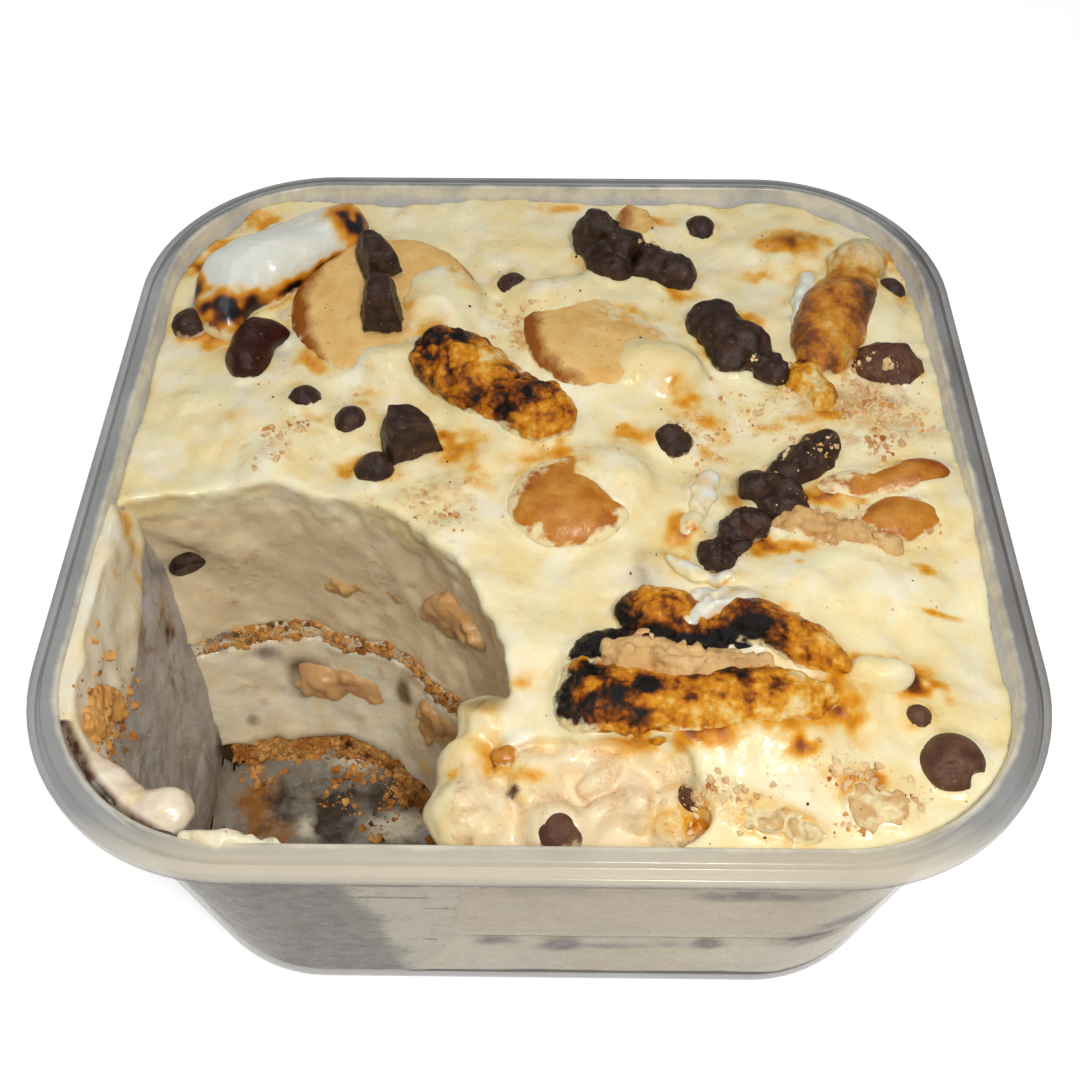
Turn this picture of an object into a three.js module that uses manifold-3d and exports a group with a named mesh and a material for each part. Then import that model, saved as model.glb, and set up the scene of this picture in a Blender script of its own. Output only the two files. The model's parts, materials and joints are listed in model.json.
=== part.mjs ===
// Layered banana pudding in a square plastic tub: cream on a dark crumb base, a layer of chocolate
// chips through its middle, toasted marshmallows, wafers, banana and chocolate on top, and one
// deep hollow in the front left corner where a helping was taken out.
// Millimetres, +Z up, +X to the right, -Y to the front. The origin is under the tub's centre.

import * as THREE from 'three';
import Module from 'manifold-3d';
import { mergeVertices } from 'three/addons/utils/BufferGeometryUtils.js';
import { ConvexGeometry } from 'three/addons/geometries/ConvexGeometry.js';

const wasm = await Module();
wasm.setup();

// ---- Driving dimensions of the tub ----
const RIM_HALF = 73;
const TUB_HEIGHT = 70;
const LIP_FLAT = 2.6;
const LIP_WIDTH = 4.6;
const LIP_STEP = 1;
const SKIRT_DEPTH = 2.4;
const WALL = 0.9;
const MOUTH_CORNER = 28.8;
const BASE_HALF = 61.7;
const BASE_CORNER = 25.3;
const BASE_EDGE = 4;
const FOOT_WIDTH = 3;
const FOOT_RECESS = 0.8;
const FLOOR = FOOT_RECESS + WALL;
const FLOOR_EDGE = 3.2;
const SOFTEN = 0.3;
const CORNER_STEPS = 5;
const EDGE_STEPS = 3;

// ---- Driving dimensions of the contents ----
const GAP = 0.3;
const BED_GAP = 0.45;
const CRUMB_TOP = 5.5;
const CHIP_LAYER_BOTTOM = 26.6;
const CHIP_LAYER_TOP = 30.2;
const CREAM_LEVEL = 66.8;
const CREAM_SIDE_STEPS = 3;
const CREAM_RING_SHARES = [1, 0.88, 0.74, 0.58, 0.4, 0.2];

// Low hills of the cream's top, each with its middle, its spread and its rise.
const HILLS = [
  { at: [44, -22], spread: [20, 13], rise: 1.8 },
  { at: [22, -40], spread: [24, 12], rise: 2.2 },
  { at: [38, -56], spread: [22, 9], rise: 1.2 },
  { at: [-4, 18], spread: [22, 30], rise: 2 }
];

// The hollow left by the spoon, and the dip that it tore along the front edge, as ellipsoids.
const HOLLOW = [
  { at: [-46, -44, 45], half: [44, 41, 60], detail: 3 },
  { at: [-63, -25, 56], half: [15, 17, 30], detail: 2 },
  { at: [-18, -56, 60], half: [10, 14, 26], detail: 2 }
];
const FRONT_DIP = [{ at: [4, -60, 70.5], half: [17.5, 9.2, 7.5], detail: 1 }];

// Cream heaped over the top: a broad mound at the right and soft folds in the front dip.
const HEAPS = [
  { at: [44, -25, 63], half: [20, 10, 8], detail: 2 },
  { at: [-7, -57.5, 61], half: [7, 6.5, 4.5], detail: 1 },
  { at: [5, -54, 61.5], half: [6.5, 4, 4], detail: 1 },
  { at: [11, -60.5, 60.5], half: [6.5, 4, 4.2], detail: 1 }
];

// What still clings to the tub's wall beside the hollow.
const FILM_THICKNESS = 2.2;
const WALL_CREAM_TOP = 2;
const WALL_CREAM_DEPTH = 22;
const WALL_SMEAR = { at: [-66, -36, 61], half: [14, 26, 12], seed: 12 };
const CORNER_LUMP = { at: [-56.5, -59.5, 64], half: [8, 5, 6.5], seed: 13 };

// Shares and facets of the small pieces.
const CHIP_HEIGHT_SHARE = 0.75;
const CHIP_SEGMENTS = 8;
const WAFER_EDGE = 2;
const WAFER_SEGMENTS = 16;
const CHUNK_SHAKE = 0.14;
const CHUNK_ROUND = 0.86;

// ---- Finishes ----
const finish = (color, roughness) => new THREE.MeshStandardMaterial({ color, roughness, metalness: 0 });
const FINISHES = {
  plastic: finish(0x9a9d9b, 0.35),
  cream: finish(0xf3e6c4, 0.45),
  toasted: finish(0xb8701f, 0.3),
  marshmallow: finish(0xe9e6da, 0.4),
  chocolate: finish(0x3a241c, 0.4),
  biscuit: finish(0xd9a862, 0.75),
  banana: finish(0xc07a35, 0.35),
  chipped: finish(0xa88a68, 0.5),
  crumb: finish(0x8a5a30, 0.9)
};

// ---- Outlines and lofts ----

// One ring of a square with round corners, anticlockwise from above.
function squareRing(half, corner, z, sideSteps = 1) {
  const points = [];
  const straight = half - corner;
  for (let quarter = 0; quarter < 4; quarter += 1) {
    const start = quarter * Math.PI / 2;
    const middle = start + Math.PI / 4;
    const centreX = straight * Math.SQRT2 * Math.cos(middle);
    const centreY = straight * Math.SQRT2 * Math.sin(middle);
    for (let step = 0; step <= CORNER_STEPS; step += 1) {
      const angle = start + step / CORNER_STEPS * Math.PI / 2;
      points.push([centreX + corner * Math.cos(angle), centreY + corner * Math.sin(angle), z]);
    }
    const [lastX, lastY] = points[points.length - 1];
    for (let step = 1; step < sideSteps; step += 1) {
      const along = 2 * straight * step / sideSteps;
      points.push([lastX - along * Math.cos(start), lastY - along * Math.sin(start), z]);
    }
  }
  return points;
}

// A closed body from rings that run from the middle of its underside to the middle of its top.
function loft(rings, bottomCentre, topCentre) {
  const count = rings[0].length;
  const positions = rings.flat(2).concat(bottomCentre, topCentre);
  const bottomIndex = rings.length * count;
  const topIndex = bottomIndex + 1;
  const lastRing = (rings.length - 1) * count;
  const index = [];
  for (let i = 0; i < count; i += 1) {
    const next = (i + 1) % count;
    index.push(bottomIndex, next, i);
    index.push(topIndex, lastRing + i, lastRing + next);
    for (let ring = 0; ring < rings.length - 1; ring += 1) {
      const low = ring * count;
      const high = low + count;
      index.push(low + i, low + next, high + next);
      index.push(low + i, high + next, high + i);
    }
  }
  const geometry = new THREE.BufferGeometry();
  geometry.setAttribute('position', new THREE.Float32BufferAttribute(positions, 3));
  geometry.setIndex(index);
  return geometry;
}

// ---- Booleans ----

function toSolid(geometry) {
  const bare = geometry.clone();
  bare.deleteAttribute('normal');
  bare.deleteAttribute('uv');
  const merged = mergeVertices(bare, 1e-4);
  return new wasm.Manifold(new wasm.Mesh({
    numProp: 3,
    vertProperties: new Float32Array(merged.attributes.position.array),
    triVerts: new Uint32Array(merged.index.array)
  }));
}

function toGeometry(solid) {
  const mesh = solid.getMesh();
  const geometry = new THREE.BufferGeometry();
  geometry.setAttribute('position', new THREE.BufferAttribute(mesh.vertProperties, 3));
  geometry.setIndex(new THREE.BufferAttribute(mesh.triVerts, 1));
  return geometry;
}

// ---- The tub ----

const MOUTH_HALF = RIM_HALF - LIP_WIDTH;

// The outside of the wall at height z, and the pull of the round floor edge on the inside.
const wallHalf = (z) => BASE_HALF + (MOUTH_HALF + WALL - BASE_HALF) * z / TUB_HEIGHT;
const wallCorner = (z) => BASE_CORNER + (MOUTH_CORNER - BASE_CORNER) * z / TUB_HEIGHT;

function floorPull(z) {
  const rise = Math.min(z - FLOOR, FLOOR_EDGE);
  return FLOOR_EDGE - Math.sqrt(Math.max(FLOOR_EDGE ** 2 - (FLOOR_EDGE - rise) ** 2, 0));
}

function insideRing(z, inset, sideSteps) {
  const pull = WALL + inset + floorPull(z);
  return squareRing(wallHalf(z) - pull, wallCorner(z) - pull, z, sideSteps);
}

function tubGeometry() {
  const rings = [];
  const around = (inset, z) => rings.push(squareRing(wallHalf(z) - inset, wallCorner(z) - inset, z));
  const aroundLip = (inset, z) => {
    const corner = MOUTH_CORNER + LIP_WIDTH - WALL - inset;
    rings.push(squareRing(RIM_HALF - inset, corner, z));
  };

  around(BASE_EDGE + FOOT_WIDTH, FOOT_RECESS);
  around(BASE_EDGE + FOOT_WIDTH - SOFTEN, 0);
  for (let step = 0; step <= EDGE_STEPS; step += 1) {
    const angle = step / EDGE_STEPS * Math.PI / 2;
    around(BASE_EDGE * (1 - Math.sin(angle)), BASE_EDGE * (1 - Math.cos(angle)));
  }

  const flangeTop = TUB_HEIGHT - LIP_STEP;
  around(0, flangeTop - WALL);
  aroundLip(WALL, flangeTop - WALL);
  aroundLip(WALL, flangeTop - SKIRT_DEPTH);
  aroundLip(0, flangeTop - SKIRT_DEPTH);
  aroundLip(0, flangeTop - SOFTEN);
  aroundLip(SOFTEN, flangeTop);
  aroundLip(LIP_WIDTH - LIP_FLAT, flangeTop);
  aroundLip(LIP_WIDTH - LIP_FLAT + SOFTEN, TUB_HEIGHT);
  aroundLip(LIP_WIDTH - SOFTEN, TUB_HEIGHT);
  around(WALL, TUB_HEIGHT - SOFTEN);

  for (let step = 0; step <= EDGE_STEPS; step += 1) {
    const angle = step / EDGE_STEPS * Math.PI / 2;
    rings.push(insideRing(FLOOR + FLOOR_EDGE * (1 - Math.sin(angle)), 0));
  }
  return loft(rings, [0, 0, FOOT_RECESS], [0, 0, FLOOR]);
}

// ---- The cream and what lies in it ----

function bell(x, y, at, spread) {
  const across = (x - at[0]) / spread[0];
  const along = (y - at[1]) / spread[1];
  return Math.exp(-across * across - along * along);
}

// Height of the cream's top: gentle waves with low hills on them.
function creamHeight(x, y) {
  const waves = 0.5 * Math.sin(x / 9 + 1) * Math.cos(y / 11) + 0.35 * Math.sin((x + y) / 7);
  const hills = HILLS.reduce((sum, { at, spread, rise }) => sum + rise * bell(x, y, at, spread), 0);
  return CREAM_LEVEL + waves + hills;
}

// A soft, uneven ball: squareness pulls it towards a box, and lumps raise and sink its skin.
function blobGeometry(half, { squareness = 0.15, lumps = 0.06, seed = 1, detail = 2 } = {}) {
  const geometry = new THREE.IcosahedronGeometry(1, detail);
  const position = geometry.attributes.position;
  const point = new THREE.Vector3();
  for (let i = 0; i < position.count; i += 1) {
    point.fromBufferAttribute(position, i);
    const largest = Math.max(Math.abs(point.x), Math.abs(point.y), Math.abs(point.z));
    const broad = Math.sin(3.1 * point.x + seed) * Math.cos(2.7 * point.y - seed);
    const fine = Math.sin(5.3 * point.z + 3.9 * point.x + seed);
    point.multiplyScalar((1 - squareness + squareness / largest) * (1 + lumps * (broad + fine)));
    position.setXYZ(i, point.x * half[0], point.y * half[1], point.z * half[2]);
  }
  return geometry;
}

// A turned shape from its profile of [radius, height], standing on the origin.
function turnedGeometry(profile, segments) {
  const points = profile.map(([radius, height]) => new THREE.Vector2(radius, height));
  return new THREE.LatheGeometry(points, segments).rotateX(Math.PI / 2);
}

// A chocolate chip: a flat foot, round sides and a small peak.
function chipGeometry(diameter) {
  const height = CHIP_HEIGHT_SHARE * diameter;
  const profile = [[0, 0], [0.43, 0], [0.5, 0.24], [0.32, 0.7], [0, 1]];
  return turnedGeometry(profile.map(([radius, rise]) => [radius * diameter, rise * height]), CHIP_SEGMENTS);
}

// A vanilla wafer: a round biscuit with a browned round edge and a low domed top.
function waferGeometry(radius, thickness) {
  const inner = radius - WAFER_EDGE;
  const crown = radius - 1.6 * WAFER_EDGE;
  const profile = [[0, 0], [inner, 0], [radius, 0.4], [radius - 0.3 * WAFER_EDGE, 0.7], [crown, 0.9], [0, 1]];
  return turnedGeometry(profile.map(([reach, rise]) => [reach, rise * thickness]), WAFER_SEGMENTS);
}

// A broken chunk: the hull of a box whose corners and edges are knocked about, narrower on top.
function chunkGeometry(size, { taper = 0.7, seed = 1 } = {}) {
  const shake = (n) => CHUNK_SHAKE * Math.sin(12.9 * n + 7.7 * seed);
  const points = [];
  for (const x of [-1, 0, 1]) {
    for (const y of [-1, 0, 1]) {
      for (const z of [-1, 1]) {
        const n = points.length;
        const round = x !== 0 && y !== 0 ? CHUNK_ROUND : 1;
        const reach = z > 0 ? taper * round : round;
        const corner = new THREE.Vector3(x * reach + shake(n), y * reach + shake(n + 40), z + shake(n + 80));
        points.push(corner.multiply(new THREE.Vector3(...size)).multiplyScalar(0.5));
      }
    }
  }
  return new ConvexGeometry(points);
}

// ---- Assembly ----

const group = new THREE.Group();
const toppings = [];
const degrees = (angle) => angle * Math.PI / 180;

// The geometry a little larger all round: the bed that it lies in.
function bedGeometry(geometry) {
  geometry.computeBoundingBox();
  const centre = geometry.boundingBox.getCenter(new THREE.Vector3());
  const size = geometry.boundingBox.getSize(new THREE.Vector3());
  const grow = size.clone().addScalar(2 * BED_GAP).divide(size);
  return geometry.clone()
    .translate(-centre.x, -centre.y, -centre.z)
    .scale(grow.x, grow.y, grow.z)
    .translate(centre.x, centre.y, centre.z);
}

const joined = (solids) => solids.reduce((whole, solid) => whole.add(solid));

// Places a piece at x, y and a lift above the cream, turned by degrees, clear of those before it.
function addTopping(name, material, geometry, [x, y, lift], turn = [0, 0, 0]) {
  addPlaced(name, material, [geometry], [x, y, creamHeight(x, y) + lift], turn);
}

// A piece melted together from several lumps, each given round the piece's own middle.
function addMelted(name, material, lumps, [x, y, lift]) {
  const geometries = lumps.map(({ half, at, angle = 0 }, i) => {
    const lump = blobGeometry(half, { squareness: 0.2, seed: i + name.length, detail: 1 });
    return lump.rotateZ(degrees(angle)).translate(...at);
  });
  addPlaced(name, material, geometries, [x, y, creamHeight(x, y) + lift]);
}

function addPlaced(name, material, geometries, at, turn = [0, 0, 0]) {
  const mesh = new THREE.Mesh(geometries[0], material.clone());
  mesh.name = name;
  mesh.position.set(...at);
  mesh.rotation.set(...turn.map(degrees), 'ZYX');
  mesh.updateMatrix();
  const placed = (geometry) => toSolid(geometry.clone().applyMatrix4(mesh.matrix));
  let solid = joined(geometries.map(placed));
  let reshaped = geometries.length > 1;
  const bed = joined(geometries.map((geometry) => placed(bedGeometry(geometry))));
  for (const other of toppings) {
    if (!solid.intersect(other.bed).isEmpty()) {
      solid = solid.subtract(other.bed);
      reshaped = true;
    }
  }
  if (reshaped) {
    mesh.geometry = toGeometry(solid).applyMatrix4(mesh.matrix.clone().invert());
  }
  toppings.push({ mesh, bed });
  group.add(mesh);
}

function addFixed(name, material, solid) {
  const mesh = new THREE.Mesh(toGeometry(solid), material.clone());
  mesh.name = name;
  group.add(mesh);
}

// Toasted marshmallows: long, soft, sunk into the cream. The two at the front have run: one into a
// dome, a lobe and a burnt edge, the other into a broad slab with a burnt end.
function addMarshmallows() {
  const { toasted, marshmallow } = FINISHES;
  const soft = (seed, lumps, detail = 2) => ({ squareness: 0.25, lumps, seed, detail });
  const white = blobGeometry([17.5, 7.6, 6.5], soft(1, 0.03));
  addTopping('marshmallow_white', marshmallow, white, [-50, 48, 1.2], [0, 0, 46]);
  addMelted('marshmallow_right', toasted, [
    { at: [-1.5, -3.5, 0], half: [14.5, 7, 6], angle: 66 },
    { at: [4.6, 10.5, 0.6], half: [6.5, 5.4, 5.6], angle: 60 }
  ], [53, 37.5, 0.8]);
  addMelted('marshmallow_front_a', toasted, [
    { at: [-6, 1, 0], half: [7.6, 4.4, 5], angle: -6 },
    { at: [12, -2.5, -0.4], half: [9.5, 3.8, 4.4], angle: -34 },
    { at: [-5.5, -3.8, -0.8], half: [13, 2.8, 3.6], angle: 4 }
  ], [24.5, -32.5, 1]);
  addMelted('marshmallow_front_b', toasted, [
    { at: [1, 0, 0], half: [18.6, 5, 4.8], angle: 3 },
    { at: [-17, -0.6, -0.6], half: [5, 4.8, 4.2] }
  ], [23.5, -47.4, 0.8]);
  const small = blobGeometry([7.8, 3.2, 3.6], soft(5, 0.05, 1));
  addTopping('marshmallow_small', toasted, small, [45.8, 17, 0.6], [0, 0, 62]);
  const centre = blobGeometry([17, 7.2, 6], soft(6, 0.05, 1));
  addTopping('marshmallow_centre', toasted, centre, [-9, 15, 1], [0, 0, -38]);
}

function addBiscuits() {
  const { biscuit } = FINISHES;
  const crumbly = (half, seed) => blobGeometry(half, { lumps: 0.08, seed, detail: 1 });
  const broken = (size, seed) => chunkGeometry(size, { seed });
  addTopping('wafer_left', biscuit, waferGeometry(17.5, 7.5), [-28.5, 36.5, -4], [7, -4, 0]);
  addTopping('wafer_centre', biscuit, waferGeometry(15, 7.5), [10, 29.5, -4.6], [-10, 8, 0]);
  addTopping('biscuit_cube', biscuit, broken([8.5, 7.5, 7], 2), [17, 59.5, 0.6], [0, 0, 12]);
  addTopping('biscuit_flake_a', biscuit, broken([12.5, 5.4, 3], 3), [45.4, -61.8, 0], [0, 0, 8]);
  addTopping('biscuit_flake_b', biscuit, broken([14, 5.6, 3], 4), [32.4, -63.2, 0], [0, 0, -8]);
  addTopping('crumb_band', biscuit, crumbly([10.5, 2.2, 2.6], 7), [22.5, -40.2, 0.8], [0, 0, -6]);
  addTopping('crumb_ridge', biscuit, crumbly([9.5, 2.8, 2.6], 8), [46, -15.4, 0.8], [0, 0, -14]);
}

function addBanana() {
  const { banana } = FINISHES;
  const slice = (half, seed) => blobGeometry(half, { squareness: 0.12, lumps: 0.05, seed, detail: 1 });
  addTopping('banana_upper', banana, slice([10.2, 3.8, 3.8], 9), [56.4, -3.6, 1], [0, 0, 2]);
  addTopping('banana_lower', banana, slice([7.8, 4.6, 3.8], 10), [57.6, -11.9, 0.8], [0, 0, 6]);
  addTopping('banana_centre', banana, slice([11, 10, 4], 11), [5, -8, 0.6], [8, 0, 20]);
}

// Chunks, each with its size, its place with the lift of its middle, its turn and its taper.
function addChunks() {
  const chunks = {
    chunk_wafer_upper: [[8, 12, 7], [-29.8, 43.5, 6.2], [0, 0, 22], 0.55],
    chunk_wafer_lower: [[9, 11, 7.5], [-28.2, 31.4, 6.2], [0, 0, 8], 0.6],
    chunk_left_glossy: [[9.5, 13, 9], [-51.4, 25, 1.8], [0, 0, 14], 0.7],
    chunk_back: [[13, 13, 13], [11, 50.5, 3.6], [0, 0, 30], 0.4],
    chunk_back_side: [[11, 9, 8], [21.6, 46.6, 1.8], [0, 0, -28], 0.7],
    chunk_right_back: [[10, 19, 10], [34.5, 26.5, 1.8], [0, 0, 36], 0.7],
    chunk_right_upper: [[10, 8.6, 9], [43.4, 0.6, 1.8], [0, 0, 20], 0.7],
    chunk_right_lower: [[10, 9.5, 9], [38, -8.2, 2], [0, 0, -14], 0.7],
    chunk_crumbly: [[7.5, 14, 6], [29.6, -17.4, 1.2], [0, 0, -42], 0.8],
    chunk_centre: [[11, 10, 10], [-21.5, 4.5, 2], [0, 0, 22], 0.6]
  };
  let seed = 20;
  for (const [name, [size, at, turn, taper]] of Object.entries(chunks)) {
    seed += 1;
    addTopping(name, FINISHES.chocolate, chunkGeometry(size, { taper, seed }), at, turn);
  }
}

// Chips, each with its diameter, its place with the lift of its foot, and its lean.
function addChips() {
  const chips = {
    chip_left_edge: [8.6, [-63, 33.5, -3], [18, -10, 0]],
    chip_left_mid: [7, [-40.4, 14, -2], [8, 0, 0]],
    chip_left_low: [7, [-32.6, 9, -2.2], [-10, 12, 0]],
    chip_back: [7.5, [29, 60.5, -2.4], [0, 20, 0]],
    chip_right_edge: [7.5, [62.4, 43, -2], [16, 24, 0]],
    chip_right_pair_a: [7.8, [57.4, 23.4, -2], [0, 10, 0]],
    chip_right_pair_b: [7.8, [63, 22, -2], [8, -6, 0]],
    chip_front_notched: [9.2, [57, -54.4, -3], [10, 8, 0]],
    chip_front_coated: [5.4, [53.2, -47.6, -1.6], [0, 12, 0]],
    chip_front_crevice: [5.2, [21.4, -58.6, -4], [20, 0, 0]],
    chip_front_wall: [8, [3.2, -63, -4.6], [14, 0, 0]],
    chip_centre_a: [7.6, [-27.5, -1.5, -2], [0, 16, 0]],
    chip_centre_b: [7.6, [22, 5, -2], [-12, -14, 0]],
    chip_centre_c: [7.2, [-6, 43, -2], [12, 10, 0]]
  };
  for (const [name, [diameter, at, lean]] of Object.entries(chips)) {
    addTopping(name, FINISHES.chocolate, chipGeometry(diameter), at, lean);
  }
  addPlaced('chip_in_cut', FINISHES.chocolate, [chipGeometry(8)], [-60.4, -6.5, 46], [-68, 0, 24]);
}

function addDollop() {
  const dollop = blobGeometry([4.4, 2.9, 3], { squareness: 0.1, lumps: 0.06, seed: 14, detail: 1 });
  addTopping('cream_dollop', FINISHES.cream, dollop, [49.4, -41.4, 1.4], [0, 0, 8]);
}

// ---- The layers, the hollow and what clings to the wall beside it ----

// Soft balls joined into one solid, all drawn in by the same shrink.
function softSolid(balls, shrink = 0) {
  return joined(balls.map(({ at, half, detail }) => {
    const reach = half.map((size) => size - shrink);
    const ball = blobGeometry(reach, { squareness: 0, lumps: 0.012, seed: 3, detail });
    return toSolid(ball.translate(...at));
  }));
}

// Everything inside the tub between two heights, kept a given distance from its wall.
function fillSolid(bottom, top, inset, steps = 1) {
  const rings = [];
  for (let step = 0; step <= steps; step += 1) {
    rings.push(insideRing(bottom + (top - bottom) * step / steps, inset));
  }
  return toSolid(loft(rings, [0, 0, bottom], [0, 0, top]));
}

function topLayerSolid(bottom) {
  const rings = [insideRing(bottom, GAP, CREAM_SIDE_STEPS)];
  const flat = insideRing(CREAM_LEVEL, GAP, CREAM_SIDE_STEPS);
  for (const share of CREAM_RING_SHARES) {
    rings.push(flat.map(([x, y]) => [x * share, y * share, creamHeight(x * share, y * share)]));
  }
  const level = toSolid(loft(rings, [0, 0, bottom], [0, 0, creamHeight(0, 0)]));
  const heaped = level.subtract(softSolid(FRONT_DIP)).add(softSolid(HEAPS));
  return heaped.intersect(fillSolid(bottom, 2 * TUB_HEIGHT, GAP));
}

// Cream left on the tub's wall below the rim: a long smear at the left and a lump at the corner.
function addWallCream() {
  const bottom = TUB_HEIGHT - WALL_CREAM_DEPTH;
  const top = TUB_HEIGHT - WALL_CREAM_TOP;
  const clump = (grow, { at, half, seed }) => {
    const reach = half.map((size) => size + grow);
    return toSolid(blobGeometry(reach, { lumps: 0.05, seed, detail: 1 }).translate(...at));
  };
  const free = softSolid(HOLLOW, BED_GAP);
  const film = fillSolid(bottom, top, GAP).subtract(fillSolid(bottom, top, GAP + FILM_THICKNESS));
  const smear = film.intersect(clump(0, WALL_SMEAR)).subtract(clump(BED_GAP, CORNER_LUMP));
  const lump = fillSolid(bottom, top, GAP).intersect(clump(0, CORNER_LUMP));
  addFixed('wall_cream', FINISHES.cream, smear.intersect(free));
  addFixed('rim_lump', FINISHES.cream, lump.intersect(free));
}

function addLayers() {
  const hollow = softSolid(HOLLOW);
  const layers = {
    crumb_base: [fillSolid(FLOOR + GAP, CRUMB_TOP, GAP, EDGE_STEPS), FINISHES.crumb],
    pudding_base: [fillSolid(CRUMB_TOP + GAP, CHIP_LAYER_BOTTOM, GAP), FINISHES.cream],
    chip_layer: [fillSolid(CHIP_LAYER_BOTTOM + GAP, CHIP_LAYER_TOP, GAP), FINISHES.chipped],
    pudding_top: [topLayerSolid(CHIP_LAYER_TOP + GAP), FINISHES.cream]
  };
  for (const [name, [layer, material]] of Object.entries(layers)) {
    let solid = layer.subtract(hollow);
    for (const { bed } of toppings) {
      solid = solid.subtract(bed);
    }
    addFixed(name, material, solid);
  }
}

addFixed('tub', FINISHES.plastic, toSolid(tubGeometry()));
addMarshmallows();
addBiscuits();
addBanana();
addChunks();
addChips();
addDollop();
addWallCream();
addLayers();

export default group;
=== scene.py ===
# %% [markdown]
# # A layered banana pudding in its plastic tub
# The pudding is a crumb base, cream, a band of chocolate chips, more cream, and toppings that are
# torched, browned and half sunk. One helping is gone from the front left corner. This file dresses
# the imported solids: it reads where each one lies, and puts a finer piece in its place. All lengths
# below are millimetres until a mesh is written, which is in metres.

# %% Load the frame
import json
import math
from itertools import product

import bpy
import numpy as np
from mathutils import Matrix, Vector
from mathutils.bvhtree import BVHTree

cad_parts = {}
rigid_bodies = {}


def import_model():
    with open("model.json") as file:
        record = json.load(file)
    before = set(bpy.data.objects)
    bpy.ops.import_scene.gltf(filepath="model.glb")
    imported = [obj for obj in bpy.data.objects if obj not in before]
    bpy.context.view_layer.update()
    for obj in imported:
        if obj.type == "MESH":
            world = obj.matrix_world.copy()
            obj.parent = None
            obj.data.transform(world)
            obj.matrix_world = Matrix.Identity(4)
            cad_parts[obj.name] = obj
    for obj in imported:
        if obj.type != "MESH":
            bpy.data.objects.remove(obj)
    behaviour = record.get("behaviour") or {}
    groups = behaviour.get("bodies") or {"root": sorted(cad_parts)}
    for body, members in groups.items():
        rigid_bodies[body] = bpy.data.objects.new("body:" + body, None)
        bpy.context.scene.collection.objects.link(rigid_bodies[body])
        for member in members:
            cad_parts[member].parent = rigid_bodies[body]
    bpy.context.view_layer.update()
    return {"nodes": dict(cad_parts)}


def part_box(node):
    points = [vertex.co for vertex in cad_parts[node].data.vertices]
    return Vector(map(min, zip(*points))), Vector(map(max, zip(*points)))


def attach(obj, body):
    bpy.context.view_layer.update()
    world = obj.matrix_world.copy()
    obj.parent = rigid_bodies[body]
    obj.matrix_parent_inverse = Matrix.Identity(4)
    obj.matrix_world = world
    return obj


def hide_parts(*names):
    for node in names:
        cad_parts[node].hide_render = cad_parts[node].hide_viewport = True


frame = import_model()
MM = 0.001


def node_box(node):
    """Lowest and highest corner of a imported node, in millimetres."""
    return [np.array(corner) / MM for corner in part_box(node)]


tub_low, tub_high = node_box("tub")
print("tub", (tub_high - tub_low).round(2), "mm,", len(frame["nodes"]), "nodes")

# %% [markdown]
# ## Fields and noise
# Cream, toast and crumbs are uneven at every scale. Noise on a random lattice gives that: large
# lumps for the form, small ones for the skin. The soft shapes are fields, negative inside and
# positive outside, because fields join, cut and blend softly, as cream does. A surface net turns a
# field into quads. Sculpting by hand could do it too, but a field stays adjustable by its numbers.

# %% Noise
LATTICE = 32


def lumps(points, size, seed):
    """Smooth noise from -1 to 1, in lumps about `size` across."""
    table = np.random.default_rng(seed).uniform(-1, 1, (LATTICE,) * 3).astype(np.float32)
    cell = points / np.float32(size) + np.float32(4 * LATTICE)
    low = np.floor(cell).astype(np.int32)
    part = cell - low
    part = (part * part * (3 - 2 * part)).astype(np.float32)
    total = np.zeros(points.shape[:-1], np.float32)
    for corner in product((0, 1), repeat=3):
        weight = np.prod(np.where(corner, part, 1 - part), axis=-1)
        x, y, z = np.moveaxis((low + np.array(corner, np.int32)) % LATTICE, -1, 0)
        total += weight * table[x, y, z]
    return total


def creases(points, size, seed):
    """Noise from 0 to 1 that is highest along thin, winding lines."""
    return 1 - np.minimum(np.abs(lumps(points, size, seed)) * 2.5, 1)


def smooth_step(value, low, high):
    share = np.clip((value - low) / (high - low), 0, 1)
    return share * share * (3 - 2 * share)


def bell(points, at, spread):
    """A soft hill from 1 to 0 round a place, in as many axes as the place has."""
    away = (points[..., :len(at)] - np.array(at)) / np.array(spread)
    return np.exp(-np.sum(away * away, axis=-1))


print("noise from", round(float(lumps(np.zeros((1, 3)), 1, 1)[0]), 3))

# %% Soft shapes


def soft_min(a, b, radius):
    share = np.clip(0.5 + 0.5 * (b - a) / radius, 0, 1)
    return b + (a - b) * share - radius * share * (1 - share)


def soft_max(a, b, radius):
    return -soft_min(-a, -b, radius)


def ball_field(points, at, half, turn=0.0):
    """A ball with three half sizes, turned by degrees about the vertical."""
    away = points - np.array(at, np.float32)
    cos, sin = math.cos(math.radians(turn)), math.sin(math.radians(turn))
    x = (away[..., 0] * cos + away[..., 1] * sin) / half[0]
    y = (away[..., 1] * cos - away[..., 0] * sin) / half[1]
    z = away[..., 2] / half[2]
    near = np.sqrt(x * x + y * y + z * z)
    slope = np.sqrt((x / half[0]) ** 2 + (y / half[1]) ** 2 + (z / half[2]) ** 2)
    return near * (near - 1) / np.maximum(slope, 1e-6)


def joined_balls(points, balls, radius):
    """Balls melted together; each is its middle, its half sizes and, if turned, its degrees."""
    field = ball_field(points, *balls[0])
    for ball in balls[1:]:
        field = soft_min(field, ball_field(points, *ball), radius)
    return field


def roughen(field, points, layers, reach=3.0):
    """Adds noise, as layers of size, amount and seed, where the field is close to its surface."""
    near = np.abs(field) < reach
    close = points[near]
    rough = field[near]
    for size, amount, seed in layers:
        rough = rough + amount * lumps(close, size, seed)
    field = field.copy()
    field[near] = rough
    return field


def even_axis(low, high, step):
    return np.arange(low, high + step, step, dtype=np.float32)


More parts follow.
